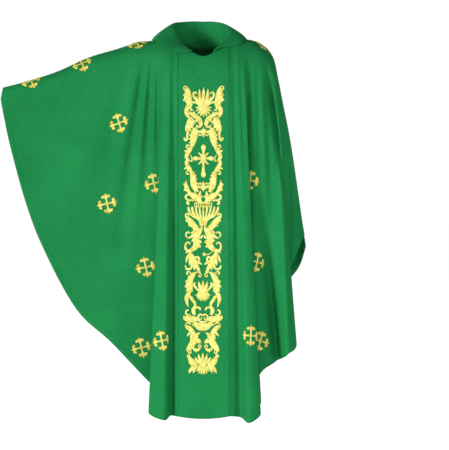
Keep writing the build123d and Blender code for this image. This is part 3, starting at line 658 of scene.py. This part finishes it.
def fleury_cross():
    """Strokes of a small cross with three-leaved ends, centred on 0."""
    arm = [(0, 0, 3.8), (8, 0, 3.0), (15, 0, 3.4), (23, 0, 6.5), (29, 0, 4.5), (CROSS_SIZE * 0.53, 0, 0.5)]
    strokes = []
    for quarter in range(4):
        c, s = (1, 0, -1, 0)[quarter], (0, 1, 0, -1)[quarter]
        lobes = [
            smoothed([(17, 0, 3.4), (24, 4.5 * way, 4.8), (26, 9.5 * way, 4.8), (20, 13 * way, 4)], 12)
            for way in (-1, 1)]
        for stroke in [smoothed(arm, 18)] + lobes:
            strokes.append([(c * x - s * y, s * x + c * y, half) for x, y, half in stroke])
    return strokes


# Cross-section of a satin stitch ribbon: place across it (-1 to 1) and share of its full height.
SATIN_PROFILE = [
    (-1.0, 0.0), (-0.93, 0.55), (-0.7, 0.86), (-0.35, 0.98), (0.0, 1.0), (0.35, 0.98), (0.7, 0.86),
    (0.93, 0.55), (1.0, 0.0)]


# Thread pulls each stroke a little narrower than it is drawn. A broad stroke stands higher than a thin one.
STROKE_SHARE = 0.91
THREAD_RISE, MOST_RISE = 0.6, 1.75


def satin(strokes, lay, lift=0.0):
    """Points, faces and thread coordinates of crowned ribbons. lay(a, b, rise) places flat points."""
    points, faces, uv = [], [], []
    width = len(SATIN_PROFILE)
    for index, stroke in enumerate(strokes):
        line = np.array(stroke, float) * (1, 1, STROKE_SHARE)
        way = np.gradient(line[:, :2], axis=0)
        way /= np.maximum(np.linalg.norm(way, axis=1, keepdims=True), 1e-9)
        aside = np.stack([way[:, 1], -way[:, 0]], 1)
        run = np.concatenate([[0], np.cumsum(np.linalg.norm(np.diff(line[:, :2], axis=0), axis=1))])
        top = np.minimum(MOST_RISE, THREAD_RISE + 0.2 * line[:, 2]) + 0.05 * (index % 7) + lift
        start = len(points)
        for share, rise in SATIN_PROFILE:
            flat = line[:, :2] + aside * (line[:, 2:] * share)
            ring = lay(flat[:, 0], flat[:, 1], top * rise)
            points.extend(ring)
            uv.extend(zip(line[:, 2] * share + 37.0 * index, run))
        rows = len(line)
        grid = start + np.arange(width * rows).reshape(width, rows)
        faces.extend(quads_of(grid, flipped=True).tolist())
        base = np.stack([grid[0, :-1], grid[-1, :-1], grid[-1, 1:], grid[0, 1:]], -1)
        faces.extend(base.tolist())
        faces.append(grid[:, 0].tolist())
        faces.append(grid[::-1, -1].tolist())
    return points, faces, np.array(uv)


# ---- materials -------------------------------------------------------------------------------------------
def nodes_of(name, roughness, sheen=0.0, sheen_roughness=0.5, specular=0.4):
    material = bpy.data.materials.new(name)
    material.use_nodes = True
    tree = material.node_tree
    shader = tree.nodes["Principled BSDF"]
    shader.inputs["Roughness"].default_value = roughness
    shader.inputs["Sheen Weight"].default_value = sheen
    shader.inputs["Sheen Roughness"].default_value = sheen_roughness
    shader.inputs["Specular IOR Level"].default_value = specular
    return material, tree, shader


def new_node(tree, kind, **values):
    """New shader node with the named inputs set."""
    made = tree.nodes.new("ShaderNode" + kind)
    for name, value in values.items():
        made.inputs[name].default_value = value
    return made


def thread_place(tree):
    """The thread coordinates of an embroidered stroke."""
    place = new_node(tree, "UVMap")
    place.uv_map = "thread"
    return place.outputs["UV"]


def link_noise(tree, scale, detail, stretch=(1, 1, 1)):
    place = new_node(tree, "TexCoord")
    mapping = new_node(tree, "Mapping", Scale=stretch)
    noise = new_node(tree, "TexNoise", Scale=scale, Detail=detail)
    tree.links.new(place.outputs["Object"], mapping.inputs["Vector"])
    tree.links.new(mapping.outputs["Vector"], noise.inputs["Vector"])
    return noise.outputs["Fac"]


def link_ramp(tree, source, stops):
    found = new_node(tree, "ValToRGB")
    for index, (position, colour) in enumerate((stops[0], stops[-1])):
        found.color_ramp.elements[index].position = position
        found.color_ramp.elements[index].color = (*colour, 1)
    for position, colour in stops[1:-1]:
        found.color_ramp.elements.new(position).color = (*colour, 1)
    tree.links.new(source, found.inputs["Fac"])
    return found.outputs["Color"]


def link_waves(tree, direction, pitch, distortion=0.6, uv=False):
    """Even ridges pitch metres apart (or thread units apart, on the thread coordinates)."""
    source = thread_place(tree) if uv else new_node(tree, "TexCoord").outputs["Object"]
    wave = new_node(tree, "TexWave", Scale=math.pi / (10 * pitch), Distortion=distortion, Detail=1.0)
    wave.bands_direction = direction
    tree.links.new(source, wave.inputs["Vector"])
    return wave.outputs["Fac"]


def link_bump(tree, shader, height, strength, distance, before=None):
    bump = new_node(tree, "Bump", Strength=strength, Distance=distance)
    tree.links.new(height, bump.inputs["Height"])
    if before is not None:
        tree.links.new(before, bump.inputs["Normal"])
    tree.links.new(bump.outputs["Normal"], shader.inputs["Normal"])
    return bump.outputs["Normal"]


def woven(name, dark, middle, light, roughness, sheen, pitch):
    """Plain-woven cloth: faintly mottled colour, threads both ways and slubs."""
    material, tree, shader = nodes_of(name, roughness, sheen, 0.6, 0.08)
    tones = [(7.0, 3.0, (1, 1, 1)), (230.0, 4.0, (1, 1, 0.7)), (900.0, 3.0, (1, 1, 0.35))]
    mottle = link_noise(tree, *tones[0][:2], stretch=tones[0][2])
    for (scale, detail, stretch), share in zip(tones[1:], (0.55, 0.35)):
        mix = new_node(tree, "Mix", Factor=share)
        tree.links.new(mottle, mix.inputs["A"])
        tree.links.new(link_noise(tree, scale, detail, stretch=stretch), mix.inputs["B"])
        mottle = mix.outputs["Result"]
    tree.links.new(
        link_ramp(tree, mottle, [(0.38, dark), (0.5, middle), (0.62, light)]), shader.inputs["Base Color"])
    weave = tree.nodes.new("ShaderNodeMath")
    weave.operation = "MAXIMUM"
    tree.links.new(link_waves(tree, "X", pitch), weave.inputs[0])
    tree.links.new(link_waves(tree, "Z", pitch), weave.inputs[1])
    slub = link_bump(tree, shader, link_noise(tree, 240.0, 4.0, stretch=(1, 1, 0.3)), 0.18, 0.0008)
    link_bump(tree, shader, weave.outputs[0], 0.25, 0.0003, slub)
    shader.inputs["Sheen Tint"].default_value = (*light, 1)
    return material


def embroidery_thread(name, dark, middle, light):
    """Shiny thread laid side by side across each stroke. Its colour holds painted light: each strand is
    lighter on its ridge and darker in the groove beside it (painted shade), and the strokes are a little
    lighter or deeper in patches (painted highlight for the sheen that changes from stroke to stroke).
    """
    material, tree, shader = nodes_of(name, 0.45, 0.12, 0.4, 0.45)
    shader.inputs["Anisotropic"].default_value = 0.35
    strands = link_waves(tree, "Y", 0.55, 1.6, uv=True)
    # Patches of lighter and deeper colour along and between the strokes: painted highlight and painted shade
    # for the sheen of the stitches.
    tone = new_node(tree, "TexNoise", Scale=0.075, Detail=2.0)
    tree.links.new(thread_place(tree), tone.inputs["Vector"])
    # Colour value: the strands, lighter on their ridges and darker in their grooves (painted shade), plus the
    # patches (painted highlight).
    painted_sheen_and_shade = tree.nodes.new("ShaderNodeMath")
    painted_sheen_and_shade.operation = "MULTIPLY_ADD"
    tree.links.new(strands, painted_sheen_and_shade.inputs[0])
    painted_sheen_and_shade.inputs[1].default_value = 0.16
    tree.links.new(tone.outputs["Fac"], painted_sheen_and_shade.inputs[2])
    tree.links.new(
        link_ramp(tree, painted_sheen_and_shade.outputs[0], [(0.38, dark), (0.56, middle), (0.76, light)]),
        shader.inputs["Base Color"])
    link_bump(tree, shader, strands, 0.5, 0.0004)
    shader.inputs["Sheen Tint"].default_value = (*light, 1)
    return material


def felt(name, dark, light, sheen):
    """Matt fibres with no weave."""
    material, tree, shader = nodes_of(name, 0.92, sheen)
    fibres = link_noise(tree, 420.0, 5.0)
    tree.links.new(link_ramp(tree, fibres, [(0.35, dark), (0.7, light)]), shader.inputs["Base Color"])
    link_bump(tree, shader, fibres, 0.35, 0.0006)
    return material


GREEN = woven(
    "green_cloth", (0.008, 0.178, 0.046), (0.010, 0.213, 0.057), (0.014, 0.253, 0.071), 0.80, 0.03, 0.0009)
# Gold threads: their lightest colours show on the strand ridges and in the lighter patches as painted
# highlight, and their darkest in the grooves as painted shade.
GOLD = embroidery_thread("gold_thread", (0.60, 0.46, 0.045), (0.78, 0.74, 0.14), (0.88, 0.90, 0.34))
DEEP_GOLD = embroidery_thread("deep_gold_thread", (0.52, 0.33, 0.015), (0.74, 0.60, 0.06), (0.88, 0.86, 0.28))
THREAD = felt("seam_thread", (0.003, 0.050, 0.036), (0.008, 0.085, 0.056), 0.0)
STIFFENER = felt("stabiliser_felt", (0.10, 0.17, 0.13), (0.17, 0.25, 0.20), 0.1)


# ---- building the pieces ---------------------------------------------------------------------------------
BODY, RIGHT, LEFT = "body", "right_side", "left_side"


def declare(piece, body, slot, *nodes):
    """The piece takes the place of CAD nodes, which are hidden. A piece on the body rides on it; a piece on a
    side only has its place baked into its points.
    """
    if body == BODY:
        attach(piece, BODY)
    else:
        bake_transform(piece)
    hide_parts(*nodes)
    return piece


def profile(plane_y, steps_arc, steps_fall, bottom, inset=0.0):
    """Points (y, z) of a centre panel's side view, from the shoulder down, moved inwards by inset."""
    deep = abs(plane_y) - inset
    middle = SHOULDER_Z - SHOULDER_DROP
    a = np.pi / 2 * np.arange(steps_arc) / steps_arc
    z_fall = np.linspace(middle, bottom, steps_fall + 1)
    y = np.concatenate([deep * np.sin(a), np.full(steps_fall + 1, deep)])
    z = np.concatenate([middle + (SHOULDER_DROP - inset) * np.cos(a), z_fall])
    return math.copysign(1, plane_y) * y, z


# How far a centre panel's hem hangs lower in its middle, and the steps of its arc and of its fall.
HEM_SAG = 9.0
CENTRE_ARC_STEPS, CENTRE_FALL_STEPS = 30, 130


def centre_points(plane_y, x, bottom, inset=0.0):
    """Grid of points on a centre panel: rows across x, columns from the neck line or shoulder down."""
    y, z = profile(plane_y, CENTRE_ARC_STEPS, CENTRE_FALL_STEPS, bottom, inset)
    side = math.copysign(1, plane_y)
    grid = np.zeros((len(x), len(y) + len(HEM_COLUMNS), 3))
    for i, xi in enumerate(x):
        inside = 1 - (xi / NECK_X) ** 2
        deep = NECK_Y if side > 0 else NECK_FRONT
        neck_y = NECK_CENTRE_Y + side * deep * math.sqrt(inside) if inside > 0 else 0.0
        neck_y = side * max(0.2, side * neck_y)
        run = np.linspace(0, 1, len(y))
        arc_y = np.abs(y[:CENTRE_ARC_STEPS + 1])
        order = np.argsort(arc_y)
        start = np.interp(abs(neck_y), arc_y[order], order.astype(float))
        step = z[-2] - z[-1]
        tail = len(y) - 1 - HEM_COLUMNS / step
        index = np.concatenate([start + (tail[0] - 0.5 - start) * run, tail])
        pressed = np.concatenate([np.zeros(len(run)), hem_groove(HEM_COLUMNS)])
        zi = np.interp(index, np.arange(len(z)), z)
        grid[i] = np.stack(
            [
                np.full(len(index), xi), np.interp(index, np.arange(len(y)), y) - side * pressed,
                zi - HEM_SAG * (1 - (xi / PILLAR_HALF) ** 2) * ramp(zi / bottom, 0.5, 1)],
            1)
    return grid


EDGE_ROLL = 1.1


def centre_panel(name, plane_y, bottom):
    """Centre panel whose long edges roll in towards the seams."""
    x = np.concatenate([[-PILLAR_HALF], np.linspace(-PILLAR_HALF + 2, PILLAR_HALF - 2, 61), [PILLAR_HALF]])
    outer, inner = centre_points(plane_y, x, bottom), centre_points(plane_y, x, bottom, CLOTH)
    side = math.copysign(1, plane_y)
    outer[[0, -1], CENTRE_ARC_STEPS:, 1] -= side * EDGE_ROLL
    outer, inner = (outer, inner) if side < 0 else (outer[::-1], inner[::-1])
    points, faces = closed_sheet(sway(outer), sway(inner))
    return add_mesh(name, points, faces, GREEN)


# Embroidery on a centre panel: how far below the column's top it starts, and its length as a share of the
# drawn one; its width as a share of the drawn one, what that loses on the way down, and what it loses more
# over one stretch; the start and length of that stretch, as shares of the column. On the front it lies to
# one side by LEAN_AT_TOP, which LEAN takes away on the way down.
COLUMN_INSET, COLUMN_REACH = 7.5, 0.987
COLUMN_SPREAD, COLUMN_TAPER, STRETCH_TAPER = 0.97, 0.03, 0.04
STRETCH_START, STRETCH_LENGTH = 0.6, 0.2
LEAN_AT_TOP, LEAN = 1.0, 3.2


def column_lay(plane_y, top):
    """Places embroidery on a centre panel."""
    side = math.copysign(1, plane_y)

    def lay(a, b, rise):
        share = b / COLUMN_LENGTH
        lower = np.clip((share - STRETCH_START) / STRETCH_LENGTH, 0, 1)
        x = side * -a * (COLUMN_SPREAD - COLUMN_TAPER * share - STRETCH_TAPER * lower)
        x = x + (LEAN_AT_TOP - LEAN * share) * (side < 0)
        z = top - COLUMN_INSET - b * COLUMN_REACH
        y = plane_y + side * (0.02 + rise)
        return sway(np.stack([x, np.broadcast_to(y, a.shape), z], 1)).tolist()

    return lay


def embroider_column(face, plane_y, top):
    for number, draw in enumerate(MOTIFS):
        points, faces, uv = satin(draw(), column_lay(plane_y, top), 0.017 * (number % 3))
        piece = add_mesh(f"{face}_{draw.__name__}_stitches", points, faces, GOLD, uv)
        declare(piece, BODY, "gold_thread", f"{face}_{draw.__name__}")


def cross_lay(tree, x, z, turn, side):
    """Places a small cross on the cloth seen first at x and z from the front (side -1) or the back (1):
    points lie as far along the cloth from its middle as they do in the flat cross."""
    hit, normal, _, _ = tree.ray_cast(Vector((x * MM, side * 1.0, z * MM)), Vector((0, -side, 0)))
    if hit is None:
        hit, normal, _, _ = tree.find_nearest(Vector((x * MM, side * 0.02, z * MM)))
    if normal.dot(Vector((0, side, 0.35))) < 0:
        normal = -normal
    right = Vector((1, 0, 0)) - normal * normal.x
    right.normalize()
    up = right.cross(normal)
    up = up if up.z > 0 else -up
    directions, steps, pace = 48, 13, 3.0
    places = np.zeros((directions + 1, steps + 1, 3))
    outward = np.zeros((directions + 1, steps + 1, 3))
    for k in range(directions + 1):
        angle = 2 * math.pi * k / directions + math.radians(turn)
        way = right * math.cos(angle) + up * math.sin(angle)
        spot, n = hit.copy(), normal.copy()
        places[k, 0], outward[k, 0] = spot, n
        for step in range(1, steps + 1):
            way = (way - n * way.dot(n)).normalized()
            found, m, _, _ = tree.find_nearest(spot + way * (pace * MM))
            m = m if m.dot(n) > 0 else -m
            spot, n = found, (n * 0.4 + m * 0.6).normalized()
            places[k, step], outward[k, step] = spot, n

    def lay(a, b, rise):
        far = np.minimum(np.hypot(a, b) / pace, steps - 1e-6)
        around = (np.arctan2(b, a) / (2 * math.pi) % 1) * directions
        k, step = np.minimum(around.astype(int), directions - 1), far.astype(int)
        f, g = (around - k)[:, None], (far - step)[:, None]
        place, out = (
            (1 - f) * ((1 - g) * t[k, step] + g * t[k, step + 1]) + f * (
                (1 - g) * t[k + 1, step] + g * t[k + 1, step + 1])
            for t in (places, outward))
        return (place / MM + out * (np.asarray(rise) + 0.12)[:, None]).tolist()

    return lay


def embroider_crosses(name, tree, crosses, side, body):
    stitched = [satin(fleury_cross(), cross_lay(tree, x, z, turn, side)) for x, z, turn in crosses]
    points, faces = joined((more, quads) for more, quads, _ in stitched)
    threads = np.concatenate([uv for _, _, uv in stitched])
    piece = add_mesh(name + "_stitches", points, faces, DEEP_GOLD, threads)
    return declare(piece, body, "deep_gold_thread", name)


def side_panel(hand, stations, front_folds, back_folds, body):
    grid = sway(side_grid(stations, front_folds, back_folds))
    if hand == "right":
        grid = crease(grid, CREASES, -1)
        grid = grid[::-1]
    outer_n = normals(grid)
    points, faces = closed_sheet(grid, grid - outer_n * CLOTH)
    piece = add_mesh(f"{hand}_side_cloth", points, faces, GREEN)
    index = np.arange(grid[..., 0].size).reshape(grid.shape[:2])
    tree = BVHTree.FromPolygons((grid * MM).reshape(-1, 3).tolist(), quads_of(index).tolist())
    declare(piece, body, "cloth", f"{hand}_side_panel")
    return piece, grid, outer_n, tree


# Columns of a side's grid that its turning takes at each hem, and how far inside the cloth every turning
# lies and how thick it is.
SIDE_HEM_COLUMNS, HEM_GAP, HEM_THICK = 10, 0.1, 1.2


def side_hems(hand, grid, outer_n, body):
    """Turned hems along the front and the back edge, on the inside of the cloth."""
    edges = []
    for columns in (slice(0, SIDE_HEM_COLUMNS), slice(-SIDE_HEM_COLUMNS, None)):
        start, end = (
            grid[:, columns] - outer_n[:, columns] * (CLOTH + HEM_GAP + thick) for thick in (0, HEM_THICK))
        edges.append(closed_sheet(start, end))
    piece = add_mesh(f"{hand}_side_hem_turning", *joined(edges), GREEN)
    return declare(piece, body, "cloth", f"{hand}_side_hem")


def box_layer(name, plane_y, half_x, bottom, top, inset, thickness, material, node, slot):
    """Flat strip of cloth that follows a centre panel, inset behind its outer face."""
    side = math.copysign(1, plane_y)
    x, z = np.linspace(-half_x, half_x, 40), np.linspace(top, bottom, max(3, int((top - bottom) / 12)))
    grid = np.zeros((len(x), len(z), 3))
    grid[..., 0], grid[..., 2] = x[:, None], z[None]
    near, far = grid.copy(), grid.copy()
    near[..., 1], far[..., 1] = plane_y - side * inset, plane_y - side * (inset + thickness)
    points, faces = closed_sheet(sway(near), sway(far))
    return declare(add_mesh(name, points, faces, material), BODY, slot, node)


SEAM_INSET, SEAM_START = 3.5, 26.0
STITCH_PITCH, STITCH_LENGTH, STITCH_HALF = 4.2, 3.4, 0.85
STITCH_SIDES = 6


def seam_stitches(node, plane_y, bottom, side_x):
    """Row of short machine stitches beside a seam."""
    side = math.copysign(1, plane_y)
    y, z = profile(plane_y, 200, 1200, bottom)
    x = side_x * (PILLAR_HALF - SEAM_INSET)
    line = np.stack([np.full(len(y), x), y, z], 1)
    run = np.concatenate([[0], np.cumsum(np.linalg.norm(np.diff(line, axis=0), axis=1))])
    begin = np.interp(SEAM_START, -z, run)
    points, faces = [], []
    for centre in np.arange(begin, run[-1] - 2, STITCH_PITCH):
        ring_starts = []
        for share, fat in ((-1, 0.35), (-0.6, 1), (0, 1.1), (0.6, 1), (1, 0.35)):
            spot = centre + share * STITCH_LENGTH / 2
            px, py, pz = (np.interp(spot, run, line[:, n]) for n in range(3))
            dy, dz = (np.interp(spot + 0.5, run, line[:, n]) - (py, pz)[n - 1] for n in (1, 2))
            out = np.array([0, -dz, dy]) * (1 if side * -dz > 0 else -1)
            out = out / np.linalg.norm(out)
            ring_starts.append(len(points))
            for k in range(STITCH_SIDES):
                a = 2 * math.pi / STITCH_SIDES * k
                rise = 0.25 + STITCH_HALF * fat * math.sin(a)
                points.append((px + STITCH_HALF * fat * math.cos(a), py + out[1] * rise, pz + out[2] * rise))
        for a, b in zip(ring_starts, ring_starts[1:]):
            faces += [
                [a + k, a + (k + 1) % STITCH_SIDES, b + (k + 1) % STITCH_SIDES, b + k]
                for k in range(STITCH_SIDES)]
        first, last = (
            list(range(start, start + STITCH_SIDES)) for start in (ring_starts[0], ring_starts[-1]))
        faces += [first[::-1], last]
    uv = np.zeros((len(points), 2))
    uv[:, 1] = np.array(points)[:, 2]
    piece = add_mesh(node + "_line", sway(points), faces, THREAD, uv)
    return declare(piece, BODY, "seam_thread", node)


# The collar's stand ends just inside the neck edge, as this share of its size.
NECK_SHARE = 0.985


def neck_line(x, y):
    """Point of the neck line under a point of the collar's roll, just inside the neck edge."""
    reach = np.where(y < NECK_CENTRE_Y, NECK_FRONT, NECK_Y)
    angle = np.arctan2((y - NECK_CENTRE_Y) / reach, x / NECK_X)
    nx, ny = NECK_SHARE * NECK_X * np.cos(angle), NECK_CENTRE_Y + NECK_SHARE * reach * np.sin(angle)
    deep = np.where(ny < 0, abs(FRONT_Y), BACK_Y)
    nz = SHOULDER_Z - SHOULDER_DROP * (1 - np.sqrt(1 - (ny / deep) ** 2)) - 5
    return np.stack([nx, ny, nz], 1)


def collar():
    """The collar: it falls from its roll to its outer edge, and its stand goes down to the neck line."""
    stations = COLLAR_LEFT + [COLLAR_BACK] + COLLAR_RIGHT[::-1]
    t = np.linspace(0, 1, (len(stations) - 1) * 12 + 1)
    outer, inner = (through([s[n] for s in stations], t) for n in range(2))
    away = outer.copy()
    away[:, 2] = 60
    away = (away / np.linalg.norm(away, axis=1, keepdims=True))[:, None]
    w = COLLAR_COLUMNS[None, :, None]
    width = np.linalg.norm(outer - inner, axis=1)[:, None, None]
    share = np.minimum(1, width / 60)
    ripple = 1.2 * np.sin(t * 61)[:, None, None]
    rise = COLLAR_BULGE * share * 4 * w * (1 - w) + ripple * (1 - w) ** 2 * share
    stitched = COLLAR_GROOVE * np.exp(-(((w - COLLAR_STITCHING) / COLLAR_GROOVE_HALF) ** 2)) * share
    falling = outer[:, None] * (1 - w) + inner[:, None] * w + away * (rise - stitched)
    foot = neck_line(inner[:, 0], inner[:, 1])
    down = np.linspace(0.06, 1, 10)[None, :, None]
    height = np.maximum(inner[:, 2] - foot[:, 2], 1)[:, None, None]
    standing = inner[:, None] * (1 - down) + foot[:, None] * down
    standing = standing - away * np.array([1, 1, 0]) * (np.minimum(6, 0.12 * height) * np.sin(np.pi * down))
    grid = np.concatenate([falling, standing], 1)
    for _ in range(5):
        soft = (grid[:, :-2] + 2 * grid[:, 1:-1] + grid[:, 2:]) / 4
        near_roll = ramp(np.arange(1, grid.shape[1] - 1), ROLL_FROM, ROLL_TO)[None, :, None] * share
        grid[:, 1:-1] = grid[:, 1:-1] * (1 - near_roll) + soft * near_roll
    points, faces = closed_sheet(grid, grid - normals(grid) * COLLAR_THICK)
    piece = add_mesh("collar_cloth", points, faces, GREEN)
    return declare(piece, BODY, "cloth", "collar_outer", "collar_interfacing", "collar_under")


# The facing takes the first columns of a centre panel that would end at this height.
FACING_BOTTOM, FACING_COLUMNS = -700, 24


def neck_facing():
    """Facing inside the neck line, front and back."""
    x = np.linspace(-PILLAR_HALF + 2, PILLAR_HALF - 2, 41)
    halves = []
    for plane_y in (FRONT_Y, BACK_Y):
        near, far = (
            centre_points(plane_y, x, FACING_BOTTOM, CLOTH + inset)[:, :FACING_COLUMNS]
            for inset in (0.2, 1.0))
        halves.append(closed_sheet(near, far))
    return declare(add_mesh("neck_facing_cloth", *joined(halves), GREEN), BODY, "cloth", "neck_facing")


front = centre_panel("front_centre_cloth", FRONT_Y, FRONT_HEM_Z)
declare(front, BODY, "cloth", "front_centre_panel")
back = centre_panel("back_centre_cloth", BACK_Y, BACK_HEM_Z)
declare(back, BODY, "cloth", "back_centre_panel")
collar()
neck_facing()
for face, plane_y, bottom, top in (("front", FRONT_Y, FRONT_HEM_Z, FRONT_COLUMN_TOP_Z),
                                   ("back", BACK_Y, BACK_HEM_Z, BACK_COLUMN_TOP_Z)):
    box_layer(
        f"{face}_hem_turning", plane_y, PILLAR_HALF - 2, bottom, bottom + HEM_DEPTH, CLOTH + HEM_GAP,
        HEM_THICK, GREEN, f"{face}_centre_hem", "cloth")
    box_layer(
        f"{face}_stabiliser_felt", plane_y, STABILISER_HALF, top - COLUMN_LENGTH - STABILISER_MARGIN,
        top + STABILISER_MARGIN, CLOTH + 0.1, 0.8, STIFFENER, f"{face}_stabiliser", "stiffening")
    for hand, side_x in (("right", -1), ("left", 1)):
        seam_stitches(f"{face}_{hand}_seam_stitching", plane_y, bottom, side_x)
    embroider_column(face, plane_y, top)

right_cloth, right_grid, right_out, right_tree = side_panel(
    "right", RIGHT_STATIONS, RIGHT_FRONT_FOLDS, RIGHT_BACK_FOLDS, RIGHT)
left_cloth, left_grid, left_out, left_tree = side_panel(
    "left", LEFT_STATIONS, LEFT_FRONT_FOLDS, LEFT_BACK_FOLDS, LEFT)
side_hems("right", right_grid, right_out, RIGHT)
side_hems("left", left_grid, left_out, LEFT)
embroider_crosses("front_right_crosses", right_tree, RIGHT_FRONT_CROSSES, -1, RIGHT)
embroider_crosses("back_right_crosses", right_tree, RIGHT_BACK_CROSSES, 1, RIGHT)
embroider_crosses("front_left_crosses", left_tree, LEFT_FRONT_CROSSES, -1, LEFT)
embroider_crosses("back_left_crosses", left_tree, LEFT_BACK_CROSSES, 1, LEFT)


# ---- floor, light and camera -----------------------------------------------------------------------------
FLOOR_HALF, FLOOR_Z = 60000.0, -1450.0
# Glow of the floor as the camera sees it and as a light.
FLOOR_SEEN, FLOOR_LIT = 0.70, 0.14


def studio():
    """Large pale floor that looks brighter than it lights the object."""
    material, tree, shader = nodes_of("pale_floor", 0.9)
    tone = link_noise(tree, 1.5, 2.0)
    tree.links.new(
        link_ramp(tree, tone, [(0.3, (0.84, 0.84, 0.85)), (0.7, (0.88, 0.88, 0.88))]),
        shader.inputs["Base Color"])
    shader.inputs["Emission Color"].default_value = (1, 1, 1, 1)
    path, glow = tree.nodes.new("ShaderNodeLightPath"), tree.nodes.new("ShaderNodeMath")
    glow.operation = "MULTIPLY_ADD"
    tree.links.new(path.outputs["Is Camera Ray"], glow.inputs[0])
    glow.inputs[1].default_value = FLOOR_SEEN - FLOOR_LIT
    glow.inputs[2].default_value = FLOOR_LIT
    tree.links.new(glow.outputs[0], shader.inputs["Emission Strength"])
    corners = ((-1, -1), (1, -1), (1, 1), (-1, 1))
    points = [(x * FLOOR_HALF, y * FLOOR_HALF, FLOOR_Z) for x, y in corners]
    add_mesh("studio_floor", points, [[0, 1, 2, 3]], material)


def new_lamp(name, kind, power, towards):
    """Lamp of a kind that shines along towards."""
    light = bpy.data.lights.new(name, kind)
    light.energy = power
    lamp = bpy.data.objects.new(name, light)
    lamp.rotation_euler = Vector(towards).to_track_quat("-Z", "Y").to_euler()
    bpy.context.collection.objects.link(lamp)
    return lamp


def sun_light(name, towards, strength, softness):
    """Distant lamp. softness is its angle in degrees."""
    new_lamp(name, "SUN", strength, towards).data.angle = math.radians(softness)


def soft_box(name, place, target, size, power):
    """Square studio lamp that is not seen itself."""
    lamp = new_lamp(name, "AREA", power, Vector(target) - Vector(place))
    lamp.data.size = size
    lamp.location = place
    lamp.visible_camera = False


AIR_LIT = 0.46


def surroundings():
    """White air round the object, dimmer as a light than it looks."""
    world = bpy.data.worlds.new("studio_air")
    world.use_nodes = True
    tree = world.node_tree
    seen = tree.nodes["Background"]
    lit = tree.nodes.new("ShaderNodeBackground")
    mix = tree.nodes.new("ShaderNodeMixShader")
    seen.inputs["Color"].default_value = (1, 1, 1, 1)
    seen.inputs["Strength"].default_value = 1.0
    lit.inputs["Strength"].default_value = AIR_LIT
    place, height = tree.nodes.new("ShaderNodeTexCoord"), tree.nodes.new("ShaderNodeSeparateXYZ")
    tree.links.new(place.outputs["Generated"], height.inputs[0])
    tree.links.new(
        link_ramp(
            tree, height.outputs["Z"],
            [(0.0, (1.0, 1.0, 1.0)), (0.3, (0.62, 0.64, 0.66)), (0.8, (0.20, 0.205, 0.21))]),
        lit.inputs["Color"])
    path = tree.nodes.new("ShaderNodeLightPath")
    tree.links.new(path.outputs["Is Camera Ray"], mix.inputs["Fac"])
    tree.links.new(lit.outputs["Background"], mix.inputs[1])
    tree.links.new(seen.outputs["Background"], mix.inputs[2])
    tree.links.new(mix.outputs["Shader"], tree.nodes["World Output"].inputs["Surface"])
    bpy.context.scene.world = world


studio()
sun_light("key", (0.82, 0.60, -0.10), 2.7, 16)
sun_light("right_fill", (-0.72, 0.69, -0.05), 1.15, 60)
soft_box("low_soft_box", (0.35, -1.65, -0.95), (0.1, 0.0, -0.95), 1.4, 10.0)
sun_light("back_key", (0.60, -0.80, -0.16), 2.4, 24)
surroundings()
bpy.context.scene.view_settings.view_transform = "Standard"

CAMERA_DISTANCE = 18.0
FRONT_PLANE = 0.07
VIEW_WIDTH = 1.531
VIEW_CENTRE = (0.0715, -0.617)
camera_data = bpy.data.cameras.new("camera")
camera_data.lens = camera_data.sensor_width * (CAMERA_DISTANCE - FRONT_PLANE) / VIEW_WIDTH
camera_data.clip_end = 200
camera = bpy.data.objects.new("camera", camera_data)
camera.location = (VIEW_CENTRE[0], -CAMERA_DISTANCE, VIEW_CENTRE[1])
camera.rotation_euler = (math.pi / 2, 0, 0)
bpy.context.collection.objects.link(camera)
bpy.context.scene.camera = camera
